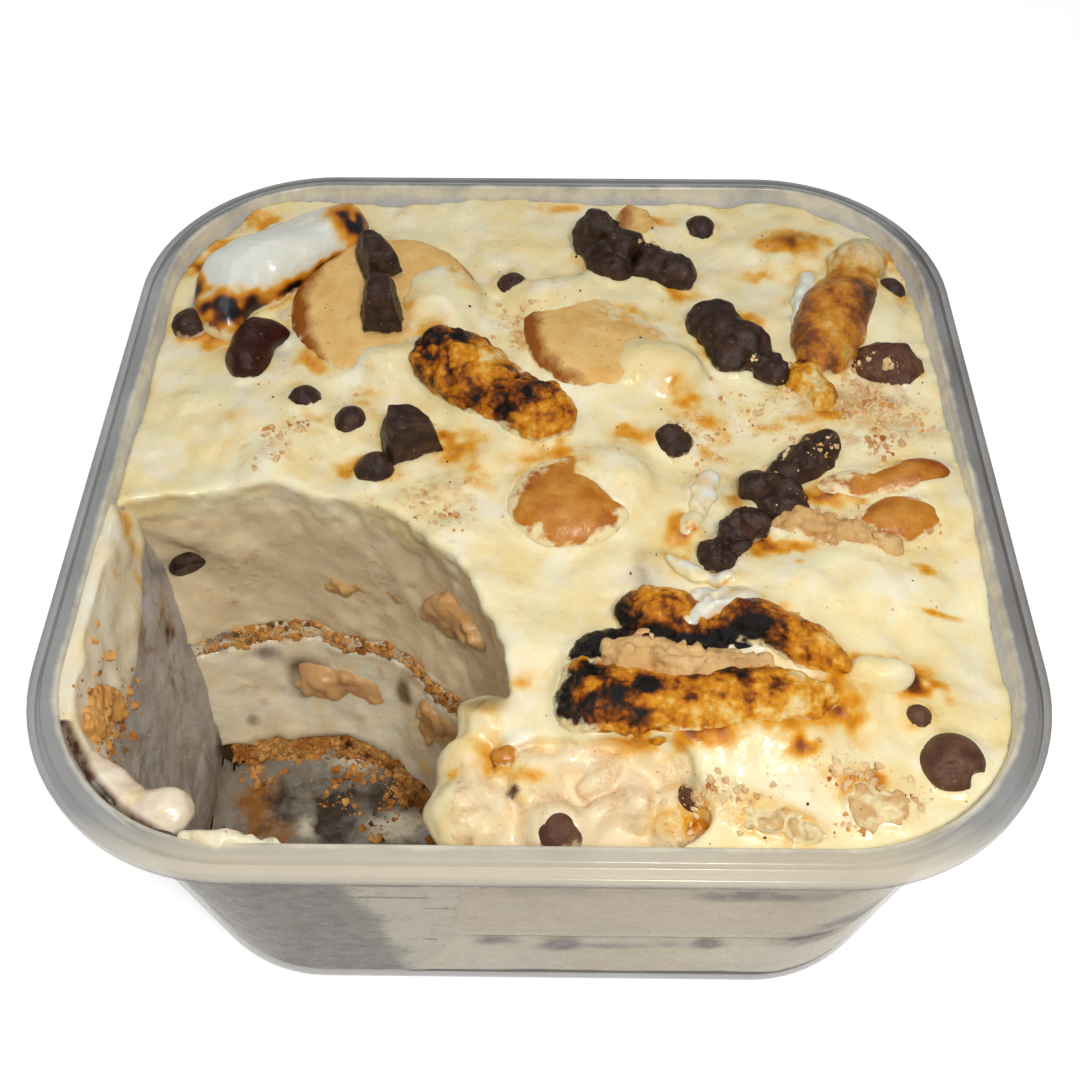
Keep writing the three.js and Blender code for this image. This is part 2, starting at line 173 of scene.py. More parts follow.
def grid_points(axes):
    return np.stack(np.meshgrid(*axes, indexing="ij"), axis=-1).astype(np.float32)


def surface_net(field, axes):
    """Points and quads of a field's zero surface; quads face the positive side."""
    cells = tuple(count - 1 for count in field.shape)
    total = np.zeros(cells + (3,))
    hits = np.zeros(cells)
    rings = []
    for axis in range(3):
        low = tuple(slice(None, -1) if k == axis else slice(None) for k in range(3))
        high = tuple(slice(1, None) if k == axis else slice(None) for k in range(3))
        start, end = field[low], field[high]
        edge = np.argwhere((start < 0) != (end < 0))
        a = start[tuple(edge.T)]
        share = a / (a - end[tuple(edge.T)])
        point = np.stack([axes[k][edge[:, k]] for k in range(3)], axis=1).astype(float)
        point[:, axis] += share * (axes[axis][edge[:, axis] + 1] - axes[axis][edge[:, axis]])
        others = [k for k in range(3) if k != axis]
        ring = []
        for back in ((0, 0), (1, 0), (1, 1), (0, 1)):
            cell = edge.copy()
            cell[:, others] -= back
            ring.append(cell)
            np.add.at(total, tuple(cell.T), point)
            np.add.at(hits, tuple(cell.T), 1)
        rings.append((ring, (a < 0) != (axis == 1)))
    used = hits > 0
    number = np.full(cells, -1)
    number[used] = np.arange(used.sum())
    quads = []
    for ring, forward in rings:
        quad = np.stack([number[tuple(cell.T)] for cell in ring], axis=1)
        quads.append(np.where(forward[:, None], quad, quad[:, ::-1]))
    return total[used] / hits[used][:, None], np.concatenate(quads)


print("soft shapes ready")

# %% Meshes and pieces
TRIANGLE_LIMIT = 196000


def mesh_from(name, points, faces):
    """A smooth mesh from millimetre points and faces that all have as many corners."""
    mesh = bpy.data.meshes.new(name)
    mesh.vertices.add(len(points))
    mesh.vertices.foreach_set("co", (np.asarray(points, float) * MM).ravel())
    mesh.loops.add(faces.size)
    mesh.loops.foreach_set("vertex_index", faces.ravel().astype(np.int32))
    mesh.polygons.add(len(faces))
    starts = np.arange(0, faces.size, faces.shape[1], dtype=np.int32)
    mesh.polygons.foreach_set("loop_start", starts)
    mesh.update(calc_edges=True)
    mesh.shade_smooth()
    return mesh


def new_object(name, data):
    item = bpy.data.objects.new(name, data)
    bpy.context.scene.collection.objects.link(item)
    return item


def worked_mesh(carrier):
    """The carrier's mesh as its modifiers leave it; the carrier itself goes."""
    bpy.context.view_layer.update()
    graph = bpy.context.evaluated_depsgraph_get()
    mesh = bpy.data.meshes.new_from_object(carrier.evaluated_get(graph))
    bpy.data.objects.remove(carrier)
    return mesh


def finished_mesh(mesh, *modifiers):
    """The mesh with modifiers applied, each given as its kind and its settings."""
    carrier = new_object("carrier", mesh)
    for kind, settings in modifiers:
        modifier = carrier.modifiers.new(kind.lower(), kind)
        for label, value in settings.items():
            setattr(modifier, label, value)
    result = worked_mesh(carrier)
    result.shade_smooth()
    return result


def field_mesh(name, field, axes):
    """The surface of a field on a grid, thinned where it is flat if it has too many faces."""
    points, quads = surface_net(field(grid_points(axes)), axes)
    mesh = mesh_from(name, points, quads)
    if 2 * len(quads) <= TRIANGLE_LIMIT:
        return mesh
    return finished_mesh(mesh, ("DECIMATE", {"ratio": TRIANGLE_LIMIT / (2 * len(quads))}))


def set_mask(mesh, label, values):
    mask = mesh.attributes.new(label, "FLOAT", "POINT")
    mask.data.foreach_set("value", np.asarray(values, np.float32))


def read_rows(items, label, kind=np.float32):
    """What every item of a mesh holds under a label, as rows of three."""
    values = np.empty(len(items) * 3, kind)
    items.foreach_get(label, values)
    return values.reshape(-1, 3)


def mesh_points(mesh):
    return read_rows(mesh.vertices, "co") / MM


def move_points(mesh, points):
    mesh.vertices.foreach_set("co", (points * MM).astype(np.float32).ravel())
    mesh.update()


def new_piece(name, mesh, material, replaced=()):
    piece = new_object(name, mesh)
    mesh.materials.clear()
    mesh.materials.append(material)
    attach(piece, "root")
    if replaced:
        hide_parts(*replaced)
    mesh.calc_loop_triangles()
    print(f"{name}: {len(mesh.loop_triangles)} triangles")
    return piece


def rounded_copy(node, voxel, smoothing):
    """The node's solid as an even mesh with its edges worn round, at the same size."""
    mesh = finished_mesh(
        frame["nodes"][node].data.copy(),
        ("WELD", {"merge_threshold": 0.01 * MM}),
        ("REMESH", {"mode": "VOXEL", "voxel_size": voxel * MM}),
        ("SMOOTH", {"factor": 0.6, "iterations": smoothing}),
    )
    points = mesh_points(mesh)
    low, high = node_box(node)
    size = points.max(0) - points.min(0)
    move_points(mesh, (points - points.min(0)) * (high - low) / size + low)
    return mesh


print("piece tools ready")

# %% [markdown]
# ## Camera, floor and light
# The tub is seen from the front and above, at 52 degrees. A faint sky and a softbox fill the
# shadows. A small lamp at the front right is close and strong: it puts crisp glints on everything
# wet, shows every bump, and fades towards the back.

# %% Camera
CAMERA_AT = (1.855, -143.305, 230.753)
CAMERA_YAW = -0.0148
CAMERA_PITCH = 0.9089
CAMERA_ROLL = -0.0037
LENS = 44.23


def camera_matrix():
    level = math.cos(CAMERA_PITCH)
    away = math.cos(CAMERA_YAW) * level
    ahead = Vector((math.sin(CAMERA_YAW) * level, away, -math.sin(CAMERA_PITCH)))
    right = ahead.cross(Vector((0, 0, 1))).normalized()
    up = right.cross(ahead)
    turned_right = math.cos(CAMERA_ROLL) * right + math.sin(CAMERA_ROLL) * up
    turned_up = math.cos(CAMERA_ROLL) * up - math.sin(CAMERA_ROLL) * right
    turn = Matrix((turned_right, turned_up, -ahead)).transposed().to_4x4()
    return Matrix.Translation(Vector(CAMERA_AT) * MM) @ turn


camera_data = bpy.data.cameras.new("camera")
camera_data.lens = LENS
camera_data.clip_start = 0.01
camera = new_object("camera", camera_data)
camera.matrix_world = camera_matrix()
bpy.context.scene.camera = camera
print("camera", CAMERA_AT, "lens", LENS, "on", camera_data.sensor_width, "mm")

# %% Light


def area_light(name, at, size, power, colour):
    """A round lamp that looks at the middle of the table."""
    data = bpy.data.lights.new(name, "AREA")
    data.shape = "DISK"
    data.size = size * MM
    data.energy = power
    data.color = colour
    light = new_object(name, data)
    light.location = Vector(at) * MM
    light.rotation_euler = (-light.location).to_track_quat("-Z", "Y").to_euler()


area_light("softbox", at=(-100, 100, 640), size=420, power=0.66, colour=(0.97, 0.98, 1))
area_light("front_lamp", at=(50, -180, 330), size=70, power=0.64, colour=(1, 0.97, 0.92))

SKY_COLOUR, SKY_STRENGTH = (1, 1, 1, 1), 0.22
world = bpy.data.worlds.new("studio")
world.use_nodes = True
sky = world.node_tree.nodes["Background"].inputs
sky["Color"].default_value = SKY_COLOUR
sky["Strength"].default_value = SKY_STRENGTH
bpy.context.scene.world = world
bpy.context.scene.view_settings.view_transform = "Standard"
print("lights:", len(bpy.data.lights), "and the sky")

# %% [markdown]
# ## Finishes
# Every material is a Principled shader fed by small node networks. Effects that several share,
# such as toasting, specks and moist relief, are groups built once. Masks that say where a piece
# is toasted or stained are stored on its mesh, because heat and stains follow the food.

# %% Node helpers


def srgb(red, green, blue):
    """A paint-chart colour, 0 to 255, as the linear light that shaders work in."""
    scaled = [channel / 255 for channel in (red, green, blue)]
    return tuple(c / 12.92 if c <= 0.04045 else ((c + 0.055) / 1.055) ** 2.4 for c in scaled) + (1.0,)


class Recipe:
    """Adds nodes to one tree; inputs are given as values or as the sockets that feed them."""

    def __init__(self, tree):
        self.tree = tree

    def put(self, socket, value):
        if isinstance(value, bpy.types.NodeSocket):
            self.tree.links.new(value, socket)
        else:
            socket.default_value = value

    def add(self, kind, inputs=None, **settings):
        node = self.tree.nodes.new(kind)
        for label, value in settings.items():
            setattr(node, label, value)
        for label, value in (inputs or {}).items():
            self.put(node.inputs[label], value)
        return node

    def group(self, tree, **inputs):
        node = self.tree.nodes.new("ShaderNodeGroup")
        node.node_tree = tree
        for label, value in inputs.items():
            self.put(node.inputs[label], value)
        return node.outputs

    def noise(self, place, size, detail=3.0, roughness=0.55):
        inputs = {"Vector": place, "Scale": 1 / (size * MM), "Detail": detail, "Roughness": roughness}
        return self.add("ShaderNodeTexNoise", inputs).outputs["Fac"]

    def math(self, operation, first, second):
        return self.add("ShaderNodeMath", {0: first, 1: second}, operation=operation).outputs[0]

    def plus(self, first, second):
        return self.math("ADD", first, second)

    def times(self, first, second):
        return self.math("MULTIPLY", first, second)

    def remap(self, value, low, high, to_low=0.0, to_high=1.0):
        ends = {"From Min": low, "From Max": high, "To Min": to_low, "To Max": to_high}
        return self.add("ShaderNodeMapRange", {"Value": value, **ends}).outputs["Result"]

    def swing(self, place, size, low=0.0, high=1.0, detail=3.0):
        """Noise stretched, so that it runs from low to high."""
        return self.remap(self.noise(place, size, detail), 0.3, 0.7, low, high)

    def mix(self, share, first, second):
        inputs = {0: share, 6: first, 7: second}
        return self.add("ShaderNodeMix", inputs, data_type="RGBA").outputs[2]

    def mask(self, label):
        return self.add("ShaderNodeAttribute", attribute_name=label).outputs["Fac"]

    def ramp(self, value, stops):
        node = self.add("ShaderNodeValToRGB", {"Fac": value})
        elements = node.color_ramp.elements
        while len(elements) < len(stops):
            elements.new(0.5)
        for element, (position, colour) in zip(elements, stops):
            element.position = position
            element.color = colour
        return node.outputs["Color"]


def new_group(name, inputs, outputs):
    """An empty shader group with its named sockets, its Recipe and its two ends."""
    tree = bpy.data.node_groups.new(name, "ShaderNodeTree")
    for label, (kind, value) in inputs.items():
        socket = tree.interface.new_socket(label, in_out="INPUT", socket_type=kind)
        if value is not None:
            socket.default_value = value
    for label, kind in outputs.items():
        tree.interface.new_socket(label, in_out="OUTPUT", socket_type=kind)
    recipe = Recipe(tree)
    start = recipe.add("NodeGroupInput")
    end = recipe.add("NodeGroupOutput")
    return recipe, start.outputs, end.inputs


class Finish:
    """A material with its Recipe, its Principled shader and its object coordinates."""

    def __init__(self, name):
        self.material = bpy.data.materials.new(name)
        self.material.use_nodes = True
        self.recipe = Recipe(self.material.node_tree)
        self.shader = self.material.node_tree.nodes["Principled BSDF"]
        self.place = self.recipe.add("ShaderNodeTexCoord").outputs["Object"]

    def set(self, **values):
        for label, value in values.items():
            self.recipe.put(self.shader.inputs[label.replace("_", " ")], value)

    def lap(self, colour, cream):
        """The colour with cream over it where the lap mask is high."""
        inputs = {"Place": self.place, "Lap": self.recipe.mask("lap"), "Colour": colour, "Cream": cream}
        return self.recipe.group(LAPPING, **inputs)["Colour"]

    def depth(self, weight, radius, scale):
        """Light that sinks in: its share, how far each colour goes, and the scale of that in mm."""
        self.set(Subsurface_Weight=weight, Subsurface_Radius=radius, Subsurface_Scale=scale * MM)

    def bump(self, height, distance, strength):
        inputs = {"Height": height, "Distance": distance * MM, "Strength": strength}
        self.set(Normal=self.recipe.add("ShaderNodeBump", inputs).outputs["Normal"])


FLOAT, VECTOR, COLOUR = "NodeSocketFloat", "NodeSocketVector", "NodeSocketColor"
print("node helpers ready")

# %% Shared effects


def build_toasting():
    """Heat from 0 to 1 becomes pale sugar, gold, amber, brown and black."""
    inputs = {"Place": (VECTOR, None), "Heat": (FLOAT, 0.5), "Unevenness": (FLOAT, 0.3)}
    recipe, start, end = new_group("toasting", inputs, {"Colour": COLOUR})
    broad = recipe.noise(start["Place"], 3.0, 4.0)
    fine = recipe.noise(start["Place"], 0.9, 3.0)
    both = recipe.mix(0.35, broad, fine)
    swing = recipe.times(recipe.math("SUBTRACT", both, 0.5), start["Unevenness"])
    heat = recipe.plus(start["Heat"], recipe.times(swing, 2.4))
    recipe.put(end["Colour"], recipe.ramp(heat, [
        (0.0, srgb(246, 228, 180)), (0.18, srgb(240, 202, 120)), (0.34, srgb(229, 158, 34)),
        (0.5, srgb(198, 118, 12)), (0.62, srgb(138, 70, 6)), (0.74, srgb(74, 34, 8)),
        (0.86, srgb(10, 7, 6)),
    ]))
    return recipe.tree


def build_specks():
    """Small scattered dots, as of vanilla, crumb or cocoa."""
    inputs = {"Place": (VECTOR, None), "Scale": (FLOAT, 500.0)}
    inputs.update({"Size": (FLOAT, 0.16), "Amount": (FLOAT, 0.5)})
    recipe, start, end = new_group("specks", inputs, {"Mask": FLOAT})
    cells = recipe.add("ShaderNodeTexVoronoi", {"Vector": start["Place"], "Scale": start["Scale"]})
    near = recipe.math("LESS_THAN", cells.outputs["Distance"], start["Size"])
    shade = recipe.add("ShaderNodeSeparateColor", {"Color": cells.outputs["Color"]})
    chosen = recipe.math("LESS_THAN", shade.outputs[0], start["Amount"])
    recipe.put(end["Mask"], recipe.times(near, chosen))
    return recipe.tree


def build_lapping():
    """Cream that has crept thinly over the foot of a piece, uneven at its edge."""
    inputs = {"Place": (VECTOR, None), "Lap": (FLOAT, 0.0)}
    inputs.update({"Colour": (COLOUR, None), "Cream": (COLOUR, None)})
    recipe, start, end = new_group("lapping", inputs, {"Colour": COLOUR})
    wander = recipe.swing(start["Place"], 1.4, -0.3, 0.3, 4.0)
    share = recipe.remap(recipe.plus(start["Lap"], wander), 0.35, 0.75)
    recipe.put(end["Colour"], recipe.mix(share, start["Colour"], start["Cream"]))
    return recipe.tree


def build_moist_relief():
    """A height for wet, hand-worked surfaces: soft dabs with a fine grain on them."""
    inputs = {"Place": (VECTOR, None), "Dabs": (FLOAT, 0.7), "Grain": (FLOAT, 0.3)}
    recipe, start, end = new_group("moist relief", inputs, {"Height": FLOAT})
    dabs = recipe.times(recipe.noise(start["Place"], 2.4, 2.0), start["Dabs"])
    grain = recipe.times(recipe.noise(start["Place"], 0.5, 4.0, 0.65), start["Grain"])
    recipe.put(end["Height"], recipe.plus(dabs, grain))
    return recipe.tree


TOASTING = build_toasting()
SPECKS = build_specks()
LAPPING = build_lapping()
MOIST_RELIEF = build_moist_relief()
CREAM_TINT = srgb(246, 228, 180)
print("shared effects:", TOASTING.name, SPECKS.name, LAPPING.name, MOIST_RELIEF.name)

# %% Cream


def cream_finish(name, light, deep):
    """Moist cream: light and deeper yellow mixed by noise, with crumb, toast and chocolate where its
    masks say.
    """
    finish = Finish(name)
    recipe, place = finish.recipe, finish.place
    base = recipe.mix(recipe.remap(recipe.noise(place, 11, 2.0), 0.35, 0.65), light, deep)
    pale = recipe.remap(recipe.noise(place, 7, 2.0), 0.48, 0.68, 0.0, 0.6)
    base = recipe.mix(pale, base, srgb(251, 245, 226))
    cut = recipe.mix(recipe.noise(place, 6, 3.0), srgb(249, 233, 199), srgb(237, 212, 168))
    base = recipe.mix(recipe.mask("cut"), base, cut)
    grains = recipe.noise(place, 0.7, 4.0, 0.7)
    crumbed = recipe.plus(recipe.mask("crumb"), recipe.swing(place, 2.4, -0.4, 0.4, 4.0))
    crumbed = recipe.remap(crumbed, 0.3, 0.95)
    tan = recipe.mix(recipe.remap(grains, 0.35, 0.65), srgb(204, 154, 96), srgb(238, 206, 158))
    base = recipe.mix(crumbed, base, tan)
    toast = recipe.mask("toast")
    heat = recipe.times(toast, 0.72)
    toasted = recipe.group(TOASTING, Place=place, Heat=heat, Unevenness=0.24)
    base = recipe.mix(recipe.remap(toast, 0.04, 0.35), base, toasted["Colour"])
    streaks = recipe.math("SUBTRACT", recipe.noise(place, 2.2), 0.5)
    cocoa = recipe.times(recipe.mask("cocoa"), recipe.plus(streaks, 1.0))
    base = recipe.mix(recipe.remap(cocoa, 0.08, 0.95), base, srgb(78, 44, 26))
    dots = recipe.group(SPECKS, Place=place, Scale=420.0, Size=0.1, Amount=0.08)
    base = recipe.mix(recipe.times(dots["Mask"], 0.5), base, srgb(160, 104, 54))
    relief = recipe.group(MOIST_RELIEF, Place=place, Dabs=0.8, Grain=0.06)
    grainy = recipe.times(recipe.times(crumbed, grains), 1.6)
    finish.bump(recipe.plus(relief["Height"], grainy), 0.5, 0.5)
    finish.set(Base_Color=base, Roughness=recipe.swing(place, 2.6, 0.18, 0.38))
    finish.depth(0.2, (1.0, 0.6, 0.3), 3)
    finish.set(Specular_IOR_Level=0.5)
    return finish.material


CREAM = cream_finish("cream", srgb(250, 240, 200), srgb(246, 224, 162))
CUT_CREAM = cream_finish("cut_cream", srgb(252, 240, 210), srgb(244, 224, 184))
WALL_CREAM = cream_finish("wall_cream", srgb(250, 244, 226), srgb(246, 230, 190))
LUMP_CREAM = cream_finish("lump_cream", srgb(247, 230, 206), srgb(238, 214, 186))
print("cream finishes ready")

# %% Toasted sugar and banana


def toast_finish(name, unevenness, gloss, milk=0.0):
    """Torched sugar: colour from the heat mask, glassy where it melted; milk greys its amber."""
    finish = Finish(name)
    recipe, place = finish.recipe, finish.place
    toasted = recipe.group(TOASTING, Place=place, Heat=recipe.mask("toast"), Unevenness=unevenness)
    milky = recipe.swing(place, 2.0, 0.3 * milk, milk, 4.0)
    sugar = recipe.mix(milky, toasted["Colour"], srgb(178, 112, 50))
    finish.set(Base_Color=finish.lap(sugar, CREAM_TINT))
    finish.set(Roughness=recipe.swing(place, 0.8, 0.06, 0.3), Specular_IOR_Level=gloss)
    relief = recipe.group(MOIST_RELIEF, Place=place, Dabs=0.6, Grain=0.6)
    finish.bump(relief["Height"], 0.7, 0.8)
    finish.depth(0.1, (1.0, 0.45, 0.12), 2)
    return finish.material


def white_finish():
    """The white inside of a marshmallow: smooth, cool, browned only where the mask says."""
    finish = Finish("white_marshmallow")
    recipe, place = finish.recipe, finish.place
    toast = recipe.mask("toast")
    toasted = recipe.group(TOASTING, Place=place, Heat=toast, Unevenness=0.16)
    white = recipe.mix(recipe.noise(place, 6), srgb(228, 233, 226), srgb(240, 238, 222))
    browned = recipe.mix(recipe.remap(toast, 0.08, 0.3), white, toasted["Colour"])
    finish.set(Base_Color=finish.lap(browned, CREAM_TINT))
    finish.set(Roughness=recipe.swing(place, 1.5, 0.3, 0.5))
    finish.bump(recipe.noise(place, 2.0, 4.0), 0.25, 0.5)
    finish.depth(0.25, (1.0, 0.8, 0.6), 3)
    finish.set(Coat_Weight=0.3, Coat_Roughness=0.12)
    return finish.material


def banana_finish(name, deep, pale, edge_colour):
    """Caramelised banana: moist, brown at its rim, paler and pinkish inside."""
    finish = Finish(name)
    recipe, place = finish.recipe, finish.place
    body = recipe.mix(recipe.remap(recipe.noise(place, 3.5, 4.0), 0.35, 0.65), deep, pale)
    rim = recipe.plus(recipe.mask("toast"), recipe.swing(place, 2.0, -0.2, 0.2))
    body = recipe.mix(recipe.remap(rim, 0.2, 0.9), body, edge_colour)
    finish.set(Base_Color=finish.lap(body, CREAM_TINT), Specular_IOR_Level=0.4)
    finish.set(Roughness=recipe.swing(place, 1.0, 0.24, 0.46))
    finish.bump(recipe.noise(place, 1.1, 4.0), 0.3, 0.5)
    finish.depth(0.3, (1.0, 0.5, 0.2), 2)
    return finish.material


TOASTED = toast_finish("toasted_marshmallow", 0.6, 0.25)
BLISTERED = toast_finish("blistered_marshmallow", 0.4, 0.45, 0.3)
WHITE = white_finish()
CARAMEL_BANANA = banana_finish("caramel_banana", srgb(190, 114, 14), srgb(212, 150, 64), srgb(158, 76, 0))
SOAKED_BANANA = banana_finish(
    "soaked_banana", srgb(226, 180, 116), srgb(214, 166, 116), srgb(210, 150, 76))
print("sugar finishes ready")

# %% Chocolate and biscuit
DRY_CRUMB, BAKED_CRUMB = (0.6, 0.85), (0.42, 0.66)
FIRM_CHOCOLATE, MILKY_GLOSS, MELTED_GLOSS = (0.3, 0.5), (0.34, 0.54), (0.14, 0.3)


def chocolate_finish(name, colour, dull, roughness):
    finish = Finish(name)
    recipe, place = finish.recipe, finish.place
    base = recipe.mix(recipe.remap(recipe.noise(place, 2.0, 4.0), 0.4, 0.66), colour, dull)
    dust = recipe.group(SPECKS, Place=place, Scale=1100.0, Size=0.2, Amount=0.1)
    base = recipe.mix(recipe.times(dust["Mask"], 0.4), base, srgb(176, 140, 100))
    low, high = roughness
    finish.set(Base_Color=finish.lap(base, srgb(206, 180, 142)), Specular_IOR_Level=0.35)
    finish.set(Roughness=recipe.swing(place, 1.2, low, high))
    relief = recipe.group(MOIST_RELIEF, Place=place, Dabs=0.5, Grain=0.5)
    finish.bump(relief["Height"], 0.5, 0.8)
    return finish.material


def biscuit_finish(name, light, brown, edge_colour, roughness=DRY_CRUMB):
    """Baked crumb: brown where the edge mask is high, pored all over, with painted shade darkening each
    pore.
    """
    finish = Finish(name)
    recipe, place = finish.recipe, finish.place
    base = recipe.mix(recipe.remap(recipe.noise(place, 4, 4.0), 0.35, 0.7), light, brown)
    edge = recipe.plus(recipe.mask("toast"), recipe.swing(place, 3, -0.2, 0.2))
    base = recipe.mix(recipe.remap(edge, 0.25, 0.85), base, edge_colour)
    shaded_pores = recipe.group(SPECKS, Place=place, Scale=900.0, Size=0.2, Amount=0.2)
    # Painted shade: each pore is darkened to brown.
    base = recipe.mix(recipe.times(shaded_pores["Mask"], 0.4), base, srgb(130, 84, 42))
    low, high = roughness
    finish.set(Base_Color=finish.lap(base, CREAM_TINT), Specular_IOR_Level=0.25)
    finish.set(Roughness=recipe.swing(place, 0.7, low, high))
    grain = recipe.math("SUBTRACT", recipe.noise(place, 0.45, 5.0, 0.7), recipe.times(shaded_pores["Mask"], 0.5))
    finish.bump(grain, 0.3, 0.8)
    return finish.material


CHOCOLATE = chocolate_finish("dark_chocolate", srgb(44, 26, 19), srgb(76, 51, 39), FIRM_CHOCOLATE)
MILKY_CHOCOLATE = chocolate_finish("chocolate_chip", srgb(84, 50, 34), srgb(112, 76, 56), MILKY_GLOSS)
GLOSSY_CHOCOLATE = chocolate_finish("melted_chocolate", srgb(44, 8, 1), srgb(60, 17, 6), MELTED_GLOSS)
BISCUIT = biscuit_finish(
    "biscuit", srgb(250, 210, 138), srgb(238, 186, 104), srgb(160, 86, 12), BAKED_CRUMB)
PALE_CRUMB = biscuit_finish("pale_crumb", srgb(234, 196, 138), srgb(210, 160, 98), srgb(180, 114, 48))
SANDY_CRUMB = biscuit_finish("sandy_crumb", srgb(248, 226, 180), srgb(234, 198, 144), srgb(216, 164, 104))
GOLDEN_CRUMB = biscuit_finish("golden_crumb", srgb(236, 182, 108), srgb(216, 150, 72), srgb(176, 104, 38))
BROWN_CRUMB = biscuit_finish("brown_crumb", srgb(196, 146, 78), srgb(150, 100, 46), srgb(64, 38, 16))
print("materials:", len(bpy.data.materials))

# %% [markdown]
# ## The tub
# A thin-walled moulding of clear, frosted plastic: round corners, a draft so that it leaves its
# mould, and a stiff lip with a step for the lid. One closed profile is swept round a square with
# round corners, which is how such a part is drawn. The wall is see-through with a grey cast, so
# that the layers show through it as they do on a table, and its lip is thicker and denser.

# %% Tub measures
RIM_HALF = tub_high[0]
TUB_HEIGHT = tub_high[2]
LIP_FLAT, LIP_WIDTH, LIP_STEP, SKIRT = 2.6, 4.6, 1.0, 2.4
WALL = 0.9
MOUTH_CORNER, BASE_HALF, BASE_CORNER = 28.8, 61.7, 25.3
BASE_EDGE, FOOT_WIDTH, FOOT_RECESS, FLOOR_EDGE = 4.0, 3.0, 0.8, 3.2
FLOOR = FOOT_RECESS + WALL
MOUTH_HALF = RIM_HALF - LIP_WIDTH


def wall_half(z):
    return BASE_HALF + (MOUTH_HALF + WALL - BASE_HALF) * z / TUB_HEIGHT


def wall_corner(z):
    return BASE_CORNER + (MOUTH_CORNER - BASE_CORNER) * z / TUB_HEIGHT


def wall_distance(points):
    """How far a point lies outside the tub's inner wall; negative inside."""
    z = points[..., 2]
    below = np.clip(FLOOR + FLOOR_EDGE - z, 0, FLOOR_EDGE)
    round_edge = FLOOR_EDGE - np.sqrt(np.maximum(FLOOR_EDGE ** 2 - below ** 2, 0))
    half = wall_half(z) - WALL - round_edge
    corner = wall_corner(z) - WALL - round_edge
    reach = np.abs(points[..., :2]) - (half - corner)[..., None]
    outside = np.linalg.norm(np.maximum(reach, 0), axis=-1)
    return outside + np.minimum(reach.max(-1), 0) - corner


def square_ring(half, corner, z, steps=20):
    """Points round a square with round corners, anticlockwise from above."""
    turn = np.arange(4)[:, None] * math.pi / 2
    centre = (half - corner) * math.sqrt(2)
    angle = turn + np.linspace(0, math.pi / 2, steps)[None, :]
    x = centre * np.cos(turn + math.pi / 4) + corner * np.cos(angle)
    y = centre * np.sin(turn + math.pi / 4) + corner * np.sin(angle)
    return np.stack([x.ravel(), y.ravel(), np.full(x.size, float(z))], axis=1)


def loft(rings):
    """Points, quads between rings, and the triangles that close the first and last ring."""
    count = len(rings[0])
    points = np.concatenate(rings + [rings[0].mean(0)[None], rings[-1].mean(0)[None]])
    near = np.arange(count)
    after = (near + 1) % count
    quads = []
    for level in range(len(rings) - 1):
        low, high = level * count, (level + 1) * count
        quads.append(np.stack([low + near, low + after, high + after, high + near], axis=1))
    bottom, top = len(points) - 2, len(points) - 1
    last = (len(rings) - 1) * count
    caps = [np.stack([np.full(count, bottom), after, near], axis=1)]
    caps.append(np.stack([np.full(count, top), last + near, last + after], axis=1))
    return points, np.concatenate(quads), np.concatenate(caps)


def lofted_mesh(name, points, quads, caps):
    mesh = bpy.data.meshes.new(name)
    mesh.from_pydata((points * MM).tolist(), [], quads.tolist() + caps.tolist())
    mesh.shade_smooth()
    return mesh


print("tub", 2 * RIM_HALF, "wide and", TUB_HEIGHT, "high")

# %% Tub profile


def quarter_turn(steps=4):
    return np.linspace(0, math.pi / 2, steps + 1)


def tub_rings():
    """The profile from the middle of the underside, round the lip, to the middle of the floor."""
    rings = []

    def wall_ring(inset, z):
        rings.append(square_ring(wall_half(z) - inset, wall_corner(z) - inset, z))

    def lip_ring(inset, z):
        rings.append(square_ring(RIM_HALF - inset, MOUTH_CORNER + LIP_WIDTH - WALL - inset, z))

    def lip_round(inset, z, radius, start):
        for angle in start + quarter_turn():
            lip_ring(inset - radius * math.cos(angle), z + radius * math.sin(angle))

    wall_ring(BASE_EDGE + FOOT_WIDTH + 6, FOOT_RECESS)
    wall_ring(BASE_EDGE + FOOT_WIDTH, FOOT_RECESS)
    for share in (0.8, 0.4, 0.1, 0):
        wall_ring(BASE_EDGE + FOOT_WIDTH - 0.6 + 0.6 * share, FOOT_RECESS * share)
    for angle in quarter_turn(8):
        wall_ring(BASE_EDGE * (1 - math.sin(angle)), BASE_EDGE * (1 - math.cos(angle)))
    flange = TUB_HEIGHT - LIP_STEP
    for z in np.linspace(BASE_EDGE + 2, flange - WALL - 1, 12):
        wall_ring(0, z)
    wall_ring(0, flange - WALL)
    lip_ring(WALL + 0.2, flange - WALL)
    lip_ring(WALL, flange - WALL - 0.2)
    lip_ring(WALL, flange - SKIRT + 0.3)
    lip_ring(WALL / 2 + 0.2, flange - SKIRT)
    lip_ring(WALL / 2 - 0.2, flange - SKIRT)
    lip_ring(0, flange - SKIRT + 0.3)
    lip_round(0.45, flange - 0.45, 0.45, 0)
    step_in = LIP_WIDTH - LIP_FLAT
    lip_ring(step_in - 0.25, flange)
    lip_ring(step_in, flange + 0.1)
    lip_ring(step_in + 0.05, TUB_HEIGHT - 0.35)
    lip_round(step_in + 0.4, TUB_HEIGHT - 0.35, 0.35, 0)
    for inset in np.linspace(step_in + 0.6, LIP_WIDTH - 0.6, 5):
        lip_ring(inset, TUB_HEIGHT)
    lip_round(LIP_WIDTH - 0.45, TUB_HEIGHT - 0.45, 0.45, math.pi / 2)
    for z in np.linspace(TUB_HEIGHT - 1.5, FLOOR + FLOOR_EDGE + 1, 14):
        wall_ring(WALL, z)
    for angle in quarter_turn(7):
        z = FLOOR + FLOOR_EDGE * (1 - math.sin(angle))
        wall_ring(WALL + FLOOR_EDGE * (1 - math.cos(angle)), z)
    wall_ring(WALL + FLOOR_EDGE + 6, FLOOR)
    return rings


